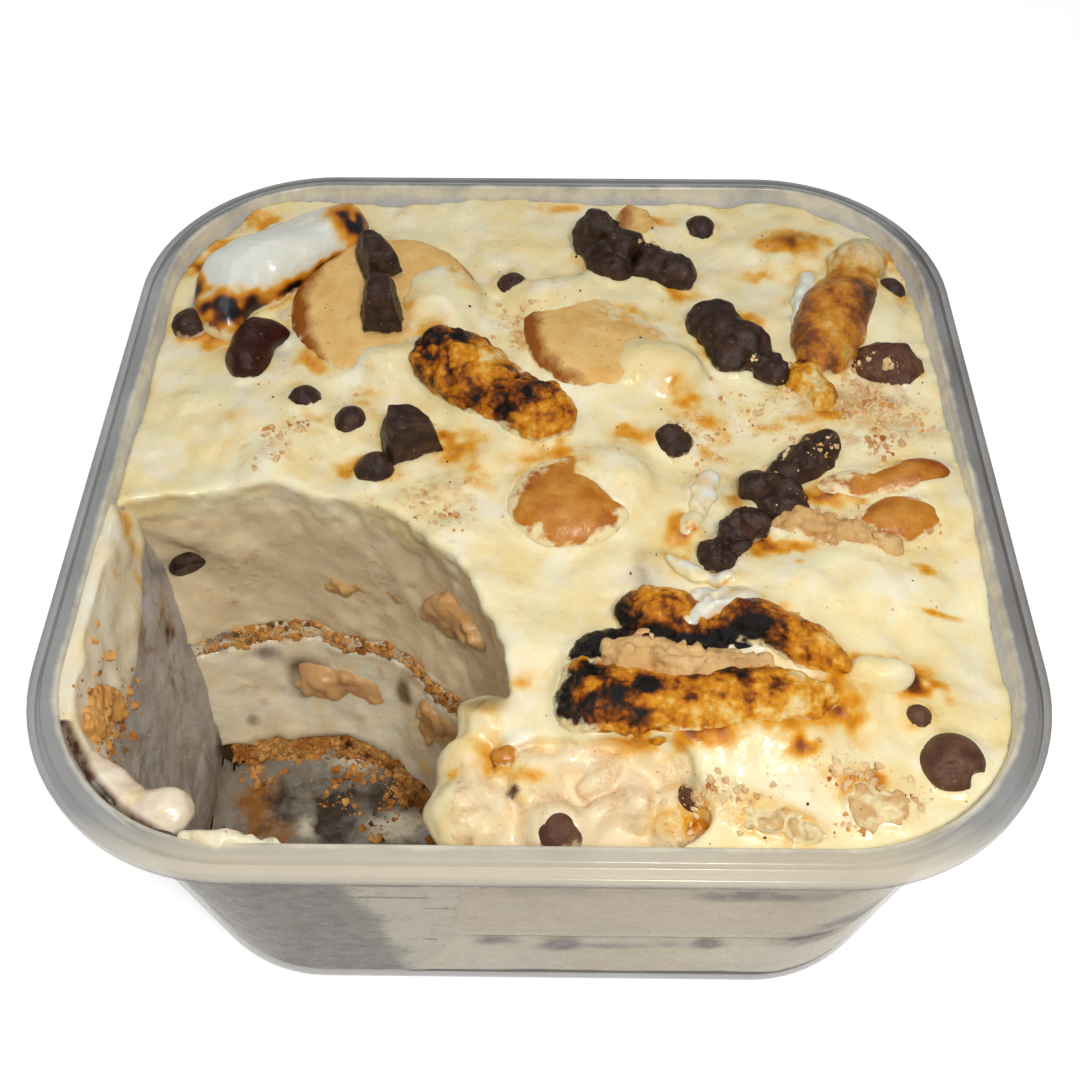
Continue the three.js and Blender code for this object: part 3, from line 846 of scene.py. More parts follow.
def tub_finish():
    """Frosted plastic: a grey cast, a denser lip with painted light at the front and painted shade at the
    right, cream dried on its inside.
    """
    finish = Finish("frosted_plastic")
    recipe, place = finish.recipe, finish.place
    along = recipe.add("ShaderNodeSeparateXYZ", {"Vector": place}).outputs
    lip = recipe.mask("lip")
    cloud = recipe.swing(place, 14, detail=4.0)
    wall = recipe.mix(cloud, srgb(62, 46, 14), srgb(76, 60, 24))
    base = recipe.mix(lip, wall, recipe.mix(cloud, srgb(126, 129, 130), srgb(146, 147, 146)))
    # Painted shade: the right side of the lip is darkened.
    right = recipe.times(lip, recipe.remap(along["X"], 0.064, 0.07))
    base = recipe.mix(recipe.times(right, 0.8), base, srgb(70, 60, 54))
    # Painted light: the front of the lip is lightened to a pale beige.
    front = recipe.times(lip, recipe.remap(along["Y"], -0.064, -0.071))
    base = recipe.mix(recipe.times(front, 0.8), base, srgb(232, 221, 198))
    ragged = recipe.swing(place, 6, -0.35, 0.25)
    creamed = recipe.remap(recipe.plus(recipe.mask("creamed"), ragged), 0.3, 1.0, 0.0, 0.85)
    finish.set(Base_Color=recipe.mix(creamed, base, srgb(236, 229, 206)))
    thin = recipe.swing(place, 20, 0.38, 0.44, 2.0)
    dense = recipe.swing(place, 16, 0.62, 0.74, 1.0)
    share = recipe.times(recipe.math("SUBTRACT", dense, thin), lip)
    finish.set(Alpha=recipe.plus(recipe.plus(thin, share), recipe.times(creamed, 0.25)))
    finish.set(Roughness=recipe.swing(place, 4.0, 0.14, 0.26, 2.0))
    finish.bump(recipe.noise(place, 3.0, 2.0), 0.06, 0.4)
    finish.set(Specular_IOR_Level=0.5)
    return finish.material


def add_tub():
    mesh = lofted_mesh("plastic_tub", *loft(tub_rings()))
    points = mesh_points(mesh)
    lip = smooth_step(points[:, 2], TUB_HEIGHT - 3.4, TUB_HEIGHT - 1.4)
    near_top = smooth_step(points[:, 2], TUB_HEIGHT - 6, TUB_HEIGHT - 3)
    inside = 1 - smooth_step(wall_distance(points), -0.2, 1.6)
    set_mask(mesh, "lip", lip)
    set_mask(mesh, "creamed", near_top * inside)
    new_piece("plastic_tub", mesh, tub_finish(), ["tub"])


add_tub()

# %% [markdown]
# ## The cream's top
# Everything on top is placed from one height: gentle waves with low hills. The same sum drew the
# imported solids, so a topping and its bed agree. The hollow, the dip that the spoon tore along the
# front, and the heaps of cream are soft balls taken away from it or added.

# %% Cream height and the places on it
CREAM_LEVEL = 66.8
TOP_ZONE = 62
BODY_REACH, LAYER_REACH = 69.6, 67.2
HILLS = [
    ((44, -22), (20, 13), 1.8), ((22, -40), (24, 12), 2.2), ((38, -56), (22, 9), 1.2),
    ((-4, 18), (22, 30), 2.0),
]
HOLLOWS = [
    ((-46, -44, 58), (42.2, 39.4, 74)), ((-63, -25, 56), (15, 17, 30)), ((-18, -56, 60), (10, 14, 26)),
    ((-60.4, -14, 46), (9, 8, 10)),
]
HEAPS = [
    ((44, -25, 63), (20, 10, 8)), ((24, -53, 66.4), (18, 4, 3.4), 3),
    ((31, -51.8, 67.4), (12, 2.8, 2.8), 2), ((42, -46, 66.6), (6, 5, 3)),
    ((60, 38, 66), (5, 9, 3.2), -10), ((64, -8, 66.4), (4, 8, 2.6)), ((6, 20, 66), (14, 8, 3.6), -30),
    ((-19, 36, 67), (8, 12, 5.4), 10), ((-24, 22.6, 66.6), (9, 4, 4.6), 10),
    ((20, 22, 67), (8, 6, 5), -20), ((2, 40, 66.4), (9, 5, 4.4), 20), ((12, -4, 66.4), (6, 7, 4.4), 30),
]
DIP_AT, DIP_HALF, DIP_FLOOR = (3.5, -60), (17.5, 9.6), 64.6
OVERHANG = [
    ((-10.6, -59, 60), (4.8, 6.4, 6), 0), ((-9.8, -52, 61), (4.6, 4.6, 5), 0),
    ((-6.4, -46.8, 62.2), (5.6, 4.4, 4.4), 0), ((18.6, -52.2, 62.4), (6.4, 3.6, 4.5), -14),
]
DIP_LOBES = [
    ((-8, -60.4, 61.4), (6.4, 6, 4.4), 20), ((-8.4, -53.4, 62.2), (5.6, 4, 4), -20),
    ((-0.6, -55.6, 62.8), (5.4, 4.4, 3.8), 70), ((3, -62.6, 61.8), (7, 3.6, 4), 0),
    ((6, -52.8, 63.2), (5.6, 2.8, 3), -8), ((9.4, -55.4, 64.2), (4.6, 2, 2.4), 36),
    ((13.6, -58.4, 63.2), (2.6, 5, 3), 8), ((8.8, -60.6, 62.8), (4.4, 2.2, 2.8), 34),
    ((18.6, -61, 62.8), (3, 4.6, 2.6), -10),
]


def cream_height(x, y):
    flat = np.stack([x, y], axis=-1)
    waves = 0.5 * np.sin(x / 9 + 1) * np.cos(y / 11) + 0.35 * np.sin((x + y) / 7)
    return CREAM_LEVEL + waves + sum(rise * bell(flat, at, spread) for at, spread, rise in HILLS)


def dip_outline(points):
    """Negative inside the torn dip along the front edge, with a ragged outline."""
    away = (points[..., :2] - np.array(DIP_AT)) / np.array(DIP_HALF)
    flat = points * np.array([1, 1, 0], np.float32)
    ragged = 1.5 * lumps(flat, 7, 47) + 0.7 * lumps(flat, 3, 48)
    return ((away ** 4).sum(-1) ** 0.25 - 1) * DIP_HALF[1] + ragged


def dip_field(points):
    """Negative where cream was torn out; the lobes left in it are folds with creases between."""
    folds = roughen(joined_balls(points, DIP_LOBES, 0.7), points, [(3, 0.55, 49), (1.5, 0.22, 50)])
    floor = soft_min(points[..., 2] - DIP_FLOOR + 2, folds, 1.4)
    return np.maximum(dip_outline(points[:, :, 0])[..., None], -floor)


def ground_height(points):
    """Height of the cream under a topping, in the dip or beside it."""
    level = cream_height(points[..., 0], points[..., 1])
    return np.where(dip_outline(points) < 0, DIP_FLOOR, level)


def on_cream(x, y, lift):
    return (x, y, float(cream_height(np.array(float(x)), np.array(float(y)))) + lift)


print("cream stands", round(float(cream_height(np.array(0.0), np.array(0.0))), 2), "high in the middle")

# %% [markdown]
# ## Melted toppings
# A torched marshmallow slumps into soft lumps, blisters, and runs from gold through amber to
# black. Each one is a few balls melted into one field, with round blisters and dents pushed into
# its skin by noise. Heat is painted as a mask with named hotter and cooler places. Toppings are
# made before the cream, so that the cream can rise against them and take their stain.

# %% Melting and painting
# How strongly painted shade browns the dents between blisters, and how wide it spreads.
CREASE_SHADE, CREASE_SHADE_WIDTH = 0.2, 0.24
CREAM_LAP, CHOCOLATE_LAP = 2.4, 1.2
beds = []


def bed_in(mesh):
    """Remembers a topping, so that the cream can be drawn up against it."""
    points = mesh_points(mesh)
    faces = [tuple(polygon.vertices) for polygon in mesh.polygons]
    tree = BVHTree.FromPolygons([Vector(point) for point in points.tolist()], faces)
    beds.append((points.min(0), points.max(0), tree))


def ball_reach(half, turn):
    cos, sin = math.cos(math.radians(turn)), math.sin(math.radians(turn))
    across = math.hypot(half[0] * cos, half[1] * sin)
    along = math.hypot(half[0] * sin, half[1] * cos)
    return np.array([across, along, half[2]])


def melted_mesh(name, lumps_of, blend, step, bumps, blisters, bites=()):
    """Balls laid on the cream, each with its place, half sizes and turn, melted into one mesh."""
    balls = [(on_cream(*place), half, turn) for place, half, turn in lumps_of]
    reach = [ball_reach(half, turn) + 1.5 for _, half, turn in balls]
    low = np.min([np.array(ball[0]) - far for ball, far in zip(balls, reach)], axis=0)
    high = np.max([np.array(ball[0]) + far for ball, far in zip(balls, reach)], axis=0)

    def field(points):
        shape = roughen(joined_balls(points, balls, blend), points, bumps)
        for size, amount, seed in blisters:
            shape = shape - amount * (np.abs(lumps(points, size, seed)) - 0.25)
        for place, half in bites:
            shape = soft_max(shape, -ball_field(points, on_cream(*place), half), 0.4)
        return shape

    return field_mesh(name, field, [even_axis(a, b, step) for a, b in zip(low, high)])


def heat_of(points, seed, base, swing, spots=()):
    """Heat by broad and narrow noise, with hotter or cooler places named one by one."""
    heat = base + swing * lumps(points, 6, seed) + 0.7 * swing * lumps(points, 2.4, seed + 1)
    for at, spread, change in spots:
        heat += change * bell(points, at, spread) * (1 + 0.6 * lumps(points, 1.8, seed + 2))
    return np.clip(heat, 0, 1)


def lap_of(points, seed, height=2.0):
    """How far cream has crept over a piece: high at its foot, gone on its upper parts."""
    above = points[:, 2] - ground_height(points)
    wander = 0.9 * lumps(points, 3, seed + 3) + 0.5 * lumps(points, 1.3, seed + 4)
    return (1 - smooth_step(above + wander, height - 2.4, height)) * (points[:, 2] > TOP_ZONE)


def crease_shade(points, blisters):
    """Painted shade: extra browning in the dents between blisters, darkest along their middles."""
    valley_shade = 0
    for size, amount, seed in blisters:
        valley_shade = valley_shade + amount * np.clip(1 - np.abs(lumps(points, size, seed)) / CREASE_SHADE_WIDTH, 0, 1)
    return CREASE_SHADE * valley_shade


def add_melted(name, nodes, material, slot, lumps_of, heat, seed, blend=2.0, step=0.34,
               bumps=(), blisters=(), bites=(), lapped=1):
    """A melted piece, painted by its heat (base, swing and spots) and lapped by the cream."""
    mesh = melted_mesh(name, lumps_of, blend, step, bumps, blisters, bites)
    points = mesh_points(mesh)
    # Browning by heat, plus painted shade in the dents between blisters.
    browned = heat_of(points, seed, *heat) + crease_shade(points, blisters)
    set_mask(mesh, "toast", np.clip(browned, 0, 1))
    lap_height = lapped * (CHOCOLATE_LAP if slot == "chocolate" else CREAM_LAP)
    set_mask(mesh, "lap", min(lapped, 1) * lap_of(points, seed, lap_height))
    new_piece(name, mesh, material, nodes)
    bed_in(mesh)


def maker(material, slot, **usual):
    """A shorter add_melted for the pieces of one stuff, with what is usual for it."""
    def add(name, nodes, lumps_of, **settings):
        add_melted(name, nodes, material, slot, lumps_of, **{**usual, **settings})

    return add


SOFT_BUMPS = [(6, 0.5, 1), (2.6, 0.3, 2)]
BLISTERS = [(2.4, 0.85, 3), (1.2, 0.4, 4)]
FINE_BLISTERS = [(1.7, 0.55, 5), (0.9, 0.3, 6)]
CHUNK_BUMPS = [(3.0, 0.9, 31), (1.4, 0.45, 32)]
CRUMBLE = [(1.9, 0.9, 33), (0.9, 0.5, 34)]
NO_HEAT = (0.2, 0.2, [])
add_torched = maker(TOASTED, "toasted_marshmallow", bumps=SOFT_BUMPS, blisters=FINE_BLISTERS)
add_white = maker(WHITE, "white_marshmallow")
add_banana = maker(CARAMEL_BANANA, "caramel_banana")
add_chocolate = maker(CHOCOLATE, "chocolate", heat=NO_HEAT, bumps=CHUNK_BUMPS)
add_milky_chip = maker(MILKY_CHOCOLATE, "chocolate", heat=NO_HEAT)
add_crumbly = maker(PALE_CRUMB, "biscuit", blisters=CRUMBLE)
print("melting ready")

# %% Torched marshmallows
add_torched(
    "toasted_front_a", ["marshmallow_front_a"],
    [
        ((18.3, -31.4, 0.6), (7.4, 4.3, 5), -6), ((30.6, -32.6, 0.4), (5, 3.6, 4.2), -20),
        ((37.4, -36, 0.4), (8.6, 3.4, 4), -38), ((19, -36.2, 0), (13, 3.4, 3.6), 4),
        ((9, -37.8, -0.6), (5, 3.4, 3), 20),
    ],
    heat=(0.48, 0.24, [
        ((20, -37.4), (12, 2.6), 0.6), ((7, -38.6), (5, 3.4), 0.6), ((30, -35.5), (4, 1.8), 0.4),
        ((12, -33), (3, 2.4), 0.2), ((33.4, -35.5), (3, 2), 0.25), ((44, -41), (2.6, 2.2), 0.2),
        ((17, -29.5), (6, 2.2), -0.06),
    ]),
    seed=710, step=0.32)
add_torched(
    "toasted_front_b", ["marshmallow_front_b"],
    [
        ((24.5, -46.8, 0.2), (18, 4.6, 4.2), 3), ((6.8, -46.6, -0.2), (4.6, 4.1, 4), 0),
        ((7.4, -42.6, -0.4), (4.4, 3.6, 4), -30), ((14, -45.2, 0.6), (6, 3.4, 3.4), 0),
        ((32, -45, 0.6), (8, 3.4, 3.4), -8), ((28, -49.4, -2.2), (14, 3.8, 3), 2),
    ],
    heat=(0.44, 0.26, [
        ((5, -46.4), (3.6, 4.6), 0.55), ((7, -42), (4, 2.4), 0.5), ((11, -46.4), (3, 2), 0.25),
        ((27.5, -43), (3.4, 1.7), 0.34), ((15.5, -46), (1.6, 1.3), 0.45), ((25, -53), (22, 2.2), -0.34),
        ((43, -47), (3, 4), -0.2), ((33, -46), (2.4, 1.5), 0.2), ((37, -45), (4, 3), -0.16),
        ((9, -50.5), (3, 1.6), 0.1), ((21, -48), (2, 1.2), 0.16),
    ]),
    seed=720, blend=3.2, lapped=1.3)
add_melted(
    "toasted_right", ["marshmallow_right"], BLISTERED, "toasted_marshmallow",
    [
        ((51.5, 34, 0.6), (14, 6.4, 5.6), 66), ((57.8, 48.4, 1), (6.2, 5.2, 5), 60),
        ((49.6, 25.5, 0.6), (5.4, 4.4, 4.6), 50), ((55.6, 38.5, 2), (6, 4, 3.8), 66),
    ],
    heat=(0.5, 0.26, [
        ((58.6, 51), (7.4, 5), -1.15), ((61, 55.6), (4, 1.2), 0.34), ((46, 33), (2, 9), 0.2),
        ((57, 34), (1.6, 9), 0.12), ((49, 20), (4, 3), -0.06),
    ]),
    seed=730, bumps=SOFT_BUMPS, blisters=[(2.6, 0.42, 3), (1.4, 0.3, 4)])
add_torched(
    "toasted_small", ["marshmallow_small"],
    [((44.6, 19.6, 0.2), (4.6, 3, 3.2), 50), ((47.4, 14.6, 0), (4.4, 2.8, 3), 80)],
    heat=(0.3, 0.12, [
        ((43.6, 22.6), (2.4, 1.6), 0.5), ((50.4, 18.4), (1.4, 4), 0.45), ((46, 16), (2, 4), -0.15),
    ]),
    seed=740, blend=1.6)
add_torched(
    "toasted_centre", ["marshmallow_centre"],
    [
        ((-12, 17.6, 0.6), (12, 6.8, 5.6), -40), ((-1.4, 9.4, 0.4), (7, 6.2, 5), -30),
        ((-17, 22, 0.8), (6, 5, 4.8), -30),
    ],
    heat=(0.46, 0.16, [((-17, 22), (5, 4), 0.3), ((-4, 8), (4, 3), 0.2), ((-8, 18), (4, 2), -0.2)]),
    seed=750, blend=2.4, step=0.36, blisters=BLISTERS)

# %% The white marshmallow and the melted strands
WHITE_HEAT = [
    ((-35, 55.8), (4.4, 4.6), 0.85), ((-41, 61.4), (9, 1.5), 1.0), ((-40, 47, 68), (6, 2.4, 2), 1.1),
    ((-46, 42, 67.8), (3.4, 4, 2), 0.8), ((-51, 36, 68), (3.6, 3.4, 3), 0.8),
    ((-57, 32.8), (5, 4), 0.6), ((-60.4, 33), (1.6, 1.4), 0.5), ((-63, 38), (2.4, 5), 0.8),
    ((-50, 53.6), (7, 2.4), 0.2), ((-55, 33), (1.6, 1.6), 0.5),
]
add_white(
    "white_marshmallow", ["marshmallow_white"],
    [
        ((-56.4, 41.6, 0.8), (9, 7, 5.8), 52), ((-49.6, 48.6, 1.2), (11, 7.6, 6.2), 46),
        ((-41.6, 54.6, 0.8), (8.4, 6.6, 5.6), 34), ((-57.6, 33.2, 0), (5, 3.4, 4), -30),
    ],
    heat=(-0.02, 0.07, WHITE_HEAT),
    seed=760, blend=5.0, step=0.4, bumps=[(9, 0.9, 7), (4, 0.5, 8)], blisters=[(1.6, 0.2, 9)])
add_white(
    "melted_on_front", [],
    [
        ((23.6, -32.8, 2.3), (4.6, 1.6, 2), 24), ((28.6, -30.4, 1.8), (4.4, 1.7, 1.8), 20),
        ((25, -29.2, 1.2), (5, 1.8, 1.5), 4), ((41, -41.4, 0.6), (1.6, 3, 1.5), 20),
        ((43, -45.6, 0.2), (1.5, 2.8, 1.3), 24),
    ],
    heat=(0.06, 0.12, [((20.4, -34.2), (2.4, 1.6), 0.4), ((27, -33), (3, 1), 0.3)]),
    seed=770, blend=1.6, step=0.3, bumps=[(3, 0.8, 11), (1.3, 0.4, 12)])
add_white(
    "melted_strands", [],
    [
        ((26.2, -6, 0), (4.6, 2, 1.4), 70), ((23.8, -11.6, -0.2), (3.4, 1.8, 1.3), 66),
        ((21.4, -20.8, -0.2), (3, 1, 1), -40), ((25.4, -23.6, 0), (3.4, 1.2, 1), -18),
        ((29, -24.6, 0.2), (2.4, 1.6, 1.1), 0),
    ],
    heat=(0.1, 0.14, [((23, -15), (3, 2), 0.4), ((28.8, -26.4), (2.4, 1.2), 0.5)]),
    seed=780, blend=1.6, step=0.3, bumps=[(2.6, 0.6, 13), (1.1, 0.3, 14)])
add_white(
    "strand_by_right", [],
    [
        ((45.6, 32, 0.6), (6.4, 1.4, 1.9), 76), ((47, 41, 0.6), (6, 1.6, 1.7), 72),
        ((46.4, 51.4, -0.4), (5, 2.4, 1), 20),
    ],
    heat=(0.12, 0.1, []),
    seed=790, step=0.32, bumps=[(2.6, 0.7, 15), (1.1, 0.3, 16)])

# %% [markdown]
# ## Banana
# Slices browned in sugar: translucent, rounded by the heat, darker along the rim that lay in the
# pan. They are smooth, so they take the same melted balls with hardly any blisters.

# %% Banana slices
add_banana(
    "banana_upper_slice", ["banana_upper"],
    [((51, -4.4, -0.9), (7.4, 3.4, 2.6), 2), ((60.8, -3.4, -0.2), (5.8, 3.8, 3.2), 2)],
    heat=(0.25, 0.1, [((65, -3), (4, 4), 0.6), ((58, -0.6), (9, 1.7), 0.5), ((47, -5), (3, 3), 0.3)]),
    seed=800, blend=2.4, bumps=[(5, 0.35, 21)], blisters=[(2.2, 0.12, 22)])
add_banana(
    "banana_lower_slice", ["banana_lower"],
    [((57.6, -11.9, -0.2), (7.6, 4.7, 3.1), 6)],
    heat=(0.1, 0.1, [((65, -9.6), (1.8, 3), 0.6), ((52.6, -10.4), (2.4, 1.4), 0.55)]),
    seed=805, blend=1.0, bumps=[(5, 0.4, 23)], blisters=[(2.2, 0.14, 24)])
add_banana(
    "banana_centre_slice", ["banana_centre"],
    [((5, -8, -0.8), (10.6, 9.6, 3.8), 20)],
    heat=(0.2, 0.12, [((-3, -3), (3, 5), 0.5), ((12, -14), (4, 3), 0.4)]),
    seed=810, blend=1.0, step=0.36, bumps=[(6, 0.4, 25)], blisters=[(2.6, 0.14, 26)])

# %% Banana and biscuit in the cut
add_melted(
    "banana_in_cut", [], SOAKED_BANANA, "caramel_banana",
    [
        ((-38.6, -9.9, -50), (8, 3, 5), -10), ((-31.3, -11.4, -53), (6, 3, 4), -20),
        ((-17.2, -21.5, -50), (7, 3, 6), -48), ((-11.6, -19.4, -18), (6, 3, 5), -52),
        ((-15.1, -15, -22), (5, 3, 3.6), -45),
    ],
    heat=(0.2, 0.3, []),
    seed=812, blend=1.6, step=0.5, bumps=[(6, 1.6, 27), (2.6, 1.3, 23)], blisters=[(1.6, 0.5, 22)])
add_crumbly(
    "biscuit_in_cut", [],
    [((-32.4, -5.4, -25), (9, 3, 3), -12), ((-25.3, -7.5, -24), (5, 3, 3.4), -20)],
    heat=(0.2, 0.3, []),
    seed=814, blend=1.0, step=0.4, bumps=[(4, 1.4, 23), (2, 0.9, 25)], blisters=[(1.4, 0.5, 24)])
add_banana(
    "caramel_bits", [],
    [((-4.2, -52.9, -1.6), (1.9, 1.5, 1.3), 10)],
    heat=(0.2, 0.2, []),
    seed=816, blend=0.6, step=0.2, bumps=[(2.2, 0.6, 21)], blisters=[(1.2, 0.1, 22)])

# %% [markdown]
# ## Chocolate
# Chips are drops with a flat foot; chunks are chips that have run together, or broken corners of
# a bar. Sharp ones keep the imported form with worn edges. Soft, melted ones are balls in a field.

# %% Melted chocolate
add_melted(
    "glossy_chocolate", ["chunk_left_glossy"], GLOSSY_CHOCOLATE, "chocolate",
    [
        ((-50.6, 28.4, 1), (4.2, 4.2, 4), 14), ((-51.4, 22.6, 0.8), (4, 4.2, 3.6), 0),
        ((-47.2, 29.8, 0.4), (2.6, 2, 2.4), 0),
    ],
    heat=NO_HEAT,
    seed=820, blend=2.6, bumps=[(3.0, 0.5, 31)])
add_chocolate(
    "chocolate_right_upper", ["chunk_right_upper"],
    [
        ((41, -1.4, 0.6), (4.4, 3.6, 3.6), 20), ((44.8, 1.4, 1.2), (3.8, 3.4, 3.2), 30),
        ((46, 3, 3), (1.7, 1.6, 2), 0),
    ],
    seed=825, blend=2.4, step=0.32)
add_chocolate(
    "chocolate_right_lower", ["chunk_right_lower"],
    [
        ((38.4, -8.8, 0.6), (4.6, 4.4, 4.2), 0), ((35.4, -5, 0.8), (3.4, 2.4, 3), 20),
        ((38, -4.6, 0.4), (3, 2.6, 2.6), 0),
    ],
    seed=830, step=0.32, bites=[((38.6, -9.6, 5.4), (2.4, 1.5, 0.9))])
add_chocolate(
    "chocolate_crumbly", ["chunk_crumbly"],
    [
        ((33.4, -13.4, 0.8), (3.6, 2.8, 2.8), -42), ((30.4, -16.6, 0.8), (3.4, 2.9, 2.8), -42),
        ((26.8, -20.4, 0.4), (3.2, 2.4, 2.4), -42),
    ],
    seed=835, step=0.3, bumps=[(3, 0.7, 35)], blisters=CRUMBLE)
add_chocolate(
    "chocolate_back", ["chunk_back"],
    [
        ((9.6, 52.8, 3), (4.2, 4, 6), 0), ((13.8, 50.8, 1.8), (4.8, 4.2, 5), 20),
        ((12, 46.6, 0.6), (3.8, 3.2, 3.6), 0),
    ],
    seed=842, blend=2.6)
add_chocolate(
    "chocolate_back_side", ["chunk_back_side"],
    [((19.6, 47.8, 1), (4, 3.6, 3.8), 0), ((24, 45.4, 0.8), (3.8, 3.2, 3.6), -28)],
    seed=844, blend=2.4)
add_chocolate(
    "chocolate_right_back", ["chunk_right_back"],
    [
        ((30.2, 32, 0.6), (4.8, 4.6, 4.2), 36), ((33.6, 26.4, 0.8), (5.4, 5.2, 4.4), 0),
        ((38.4, 22, 0.6), (3.6, 3, 3.2), -30), ((41, 19.4, 1.2), (2, 1.9, 2), 0),
    ],
    seed=846, blend=2.6)
add_milky_chip(
    "chocolate_pair", ["chip_right_pair_a", "chip_right_pair_b"],
    [
        ((57.4, 23.4, 0.2), (3.7, 4.2, 3.5), 0), ((60.2, 23, 0.4), (3.6, 4.3, 3.6), 0),
        ((62.8, 22.4, 0.2), (3.4, 4, 3.4), 0),
    ],
    seed=848, step=0.32, bumps=[(2.6, 0.6, 31)], blisters=[(1.5, 0.5, 35)])
add_milky_chip(
    "chip_notched", ["chip_front_notched"],
    [((57.2, -54.6, -0.2), (4.5, 4.5, 3.4), 0)],
    seed=840, blend=1.0, step=0.3, bumps=[(2.6, 0.16, 36)],
    bites=[((60.4, -57.8, 0), (1.6, 1.3, 5)), ((55.4, -56.4, 3), (2.2, 0.5, 0.7))])

add_milky_chip(
    "chip_sunk_in_front", ["chip_front_wall"],
    [((3.2, -63.6, -4.2), (4.1, 3.8, 3.9), 0)],
    seed=838, blend=1.0, step=0.3, bumps=[(2.6, 0.2, 36)], blisters=[(1.1, 0.12, 32)])

# %% Chips and broken chunks


def add_worn(node, material, seed, voxel=0.34, smoothing=6, dents=0.2):
    """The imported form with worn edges, dented by noise but kept inside its own box."""
    mesh = rounded_copy(node, voxel, smoothing)
    points = mesh_points(mesh)
    push = dents * (lumps(points, 2.6, seed) + 0.5 * lumps(points, 1.2, seed + 1) - 1)
    move_points(mesh, points + read_rows(mesh.vertex_normals, "vector") * push[:, None])
    set_mask(mesh, "toast", np.clip(0.35 + 0.5 * lumps(points, 3, seed + 2), 0, 1))
    set_mask(mesh, "lap", lap_of(points, seed, CHOCOLATE_LAP))
    new_piece(node + "_worn", mesh, material, [node])
    bed_in(mesh)


names = sorted(frame["nodes"])
chunks = ["chunk_centre", "chunk_wafer_lower", "chunk_wafer_upper"]
for number, node in enumerate(chunks):
    add_worn(node, CHOCOLATE, 300 + 5 * number, smoothing=5, dents=0.3)
MADE_ELSEWHERE = ("chip_layer", "chip_front_wall", "chip_front_notched", "chip_right_pair_")
chips = [name for name in names if name.startswith("chip_") and not name.startswith(MADE_ELSEWHERE)]
for number, node in enumerate(chips):
    material = MILKY_CHOCOLATE if "front" in node else CHOCOLATE
    add_worn(node, material, 400 + 5 * number, smoothing=16, dents=0.12)

# %% [markdown]
# ## Biscuit
# Wafers are baked rounds with a browned rim, turned like a bowl on a lathe; broken bits are worn
# chunks of the same crumb; and where the biscuit went soft it lies as crumbly ridges.

# %% Crumbly ridges and bits
add_worn("biscuit_cube", BISCUIT, 500, smoothing=6, dents=0.45)
add_crumbly(
    "crumbly_flake_a", ["biscuit_flake_a"],
    [
        ((44.6, -61.4, 0), (2.6, 2.6, 1.3), 0), ((48, -61.6, 0), (2.6, 2.4, 1.3), 0),
        ((46, -59.6, 0), (2.6, 1.6, 1.2), 0),
    ],
    heat=(0.1, 0.2, []),
    seed=862, blend=0.8, step=0.26, bumps=[(2.6, 0.7, 61)])
add_crumbly(
    "crumbly_flake_b", ["biscuit_flake_b"],
    [((30.8, -63.2, 0), (3.2, 2, 1.3), -20), ((35.6, -64.8, 0), (3.2, 1.9, 1.3), -20)],
    heat=(0.1, 0.2, []),
    seed=864, blend=0.8, step=0.26, bumps=[(2.6, 0.7, 62)])
add_crumbly(
    "crumb_band_ridge", ["crumb_band"],
    [
        ((15.4, -40.4, 1.2), (6, 3.2, 2.8), -4), ((22.6, -41.4, 1.6), (6, 3.4, 2.9), -6),
        ((29, -41.6, 1.2), (5.4, 3.2, 2.7), -10), ((12.6, -38.4, 1.6), (3, 2.2, 2.4), 0),
    ],
    heat=(0.05, 0.24, []),
    seed=850, step=0.3, bumps=[(3, 0.8, 37), (1.5, 0.35, 39)])
add_crumbly(
    "crumb_ridge_strewn", ["crumb_ridge"],
    [((41, -13.9, 0.8), (5.6, 2.6, 2.4), -12), ((50, -16.6, 0.8), (6.2, 2.5, 2.4), -18)],
    heat=(0.1, 0.24, []),
    seed=855, step=0.3, bumps=[(3, 0.8, 38), (1.5, 0.4, 40)])
add_melted(
    "dollop", ["cream_dollop"], CREAM, "cream",
    [((49.6, -41.4, 1), (4.2, 2.7, 2.8), 8), ((46.8, -40.4, 0.8), (2.4, 2, 2.2), 0)],
    heat=(0.0, 0.0, []),
    seed=860, blend=1.4, bumps=[(2.6, 0.35, 39)])

# %% Wafers


def wafer_frame(node):
    """Middle, upward axis and radius of a packed wafer, from the spread of its points."""
    points = mesh_points(frame["nodes"][node].data)
    middle = (points.max(0) + points.min(0)) / 2
    axes = np.linalg.svd(points - points.mean(0), full_matrices=False)[2]
    up = axes[2] * np.sign(axes[2][2])
    radius = np.linalg.norm(np.cross(points - middle, up), axis=1).max()
    return middle, up, radius


WAFER_PROFILE = [
    (0.02, 0), (0.5, 0), (0.86, 0.02), (0.93, 0.1), (0.98, 0.26), (1.0, 0.42), (0.985, 0.58),
    (0.95, 0.72), (0.89, 0.83), (0.8, 0.89), (0.68, 0.93), (0.52, 0.97), (0.34, 0.99), (0.16, 1.0),
    (0.02, 1.0),
]


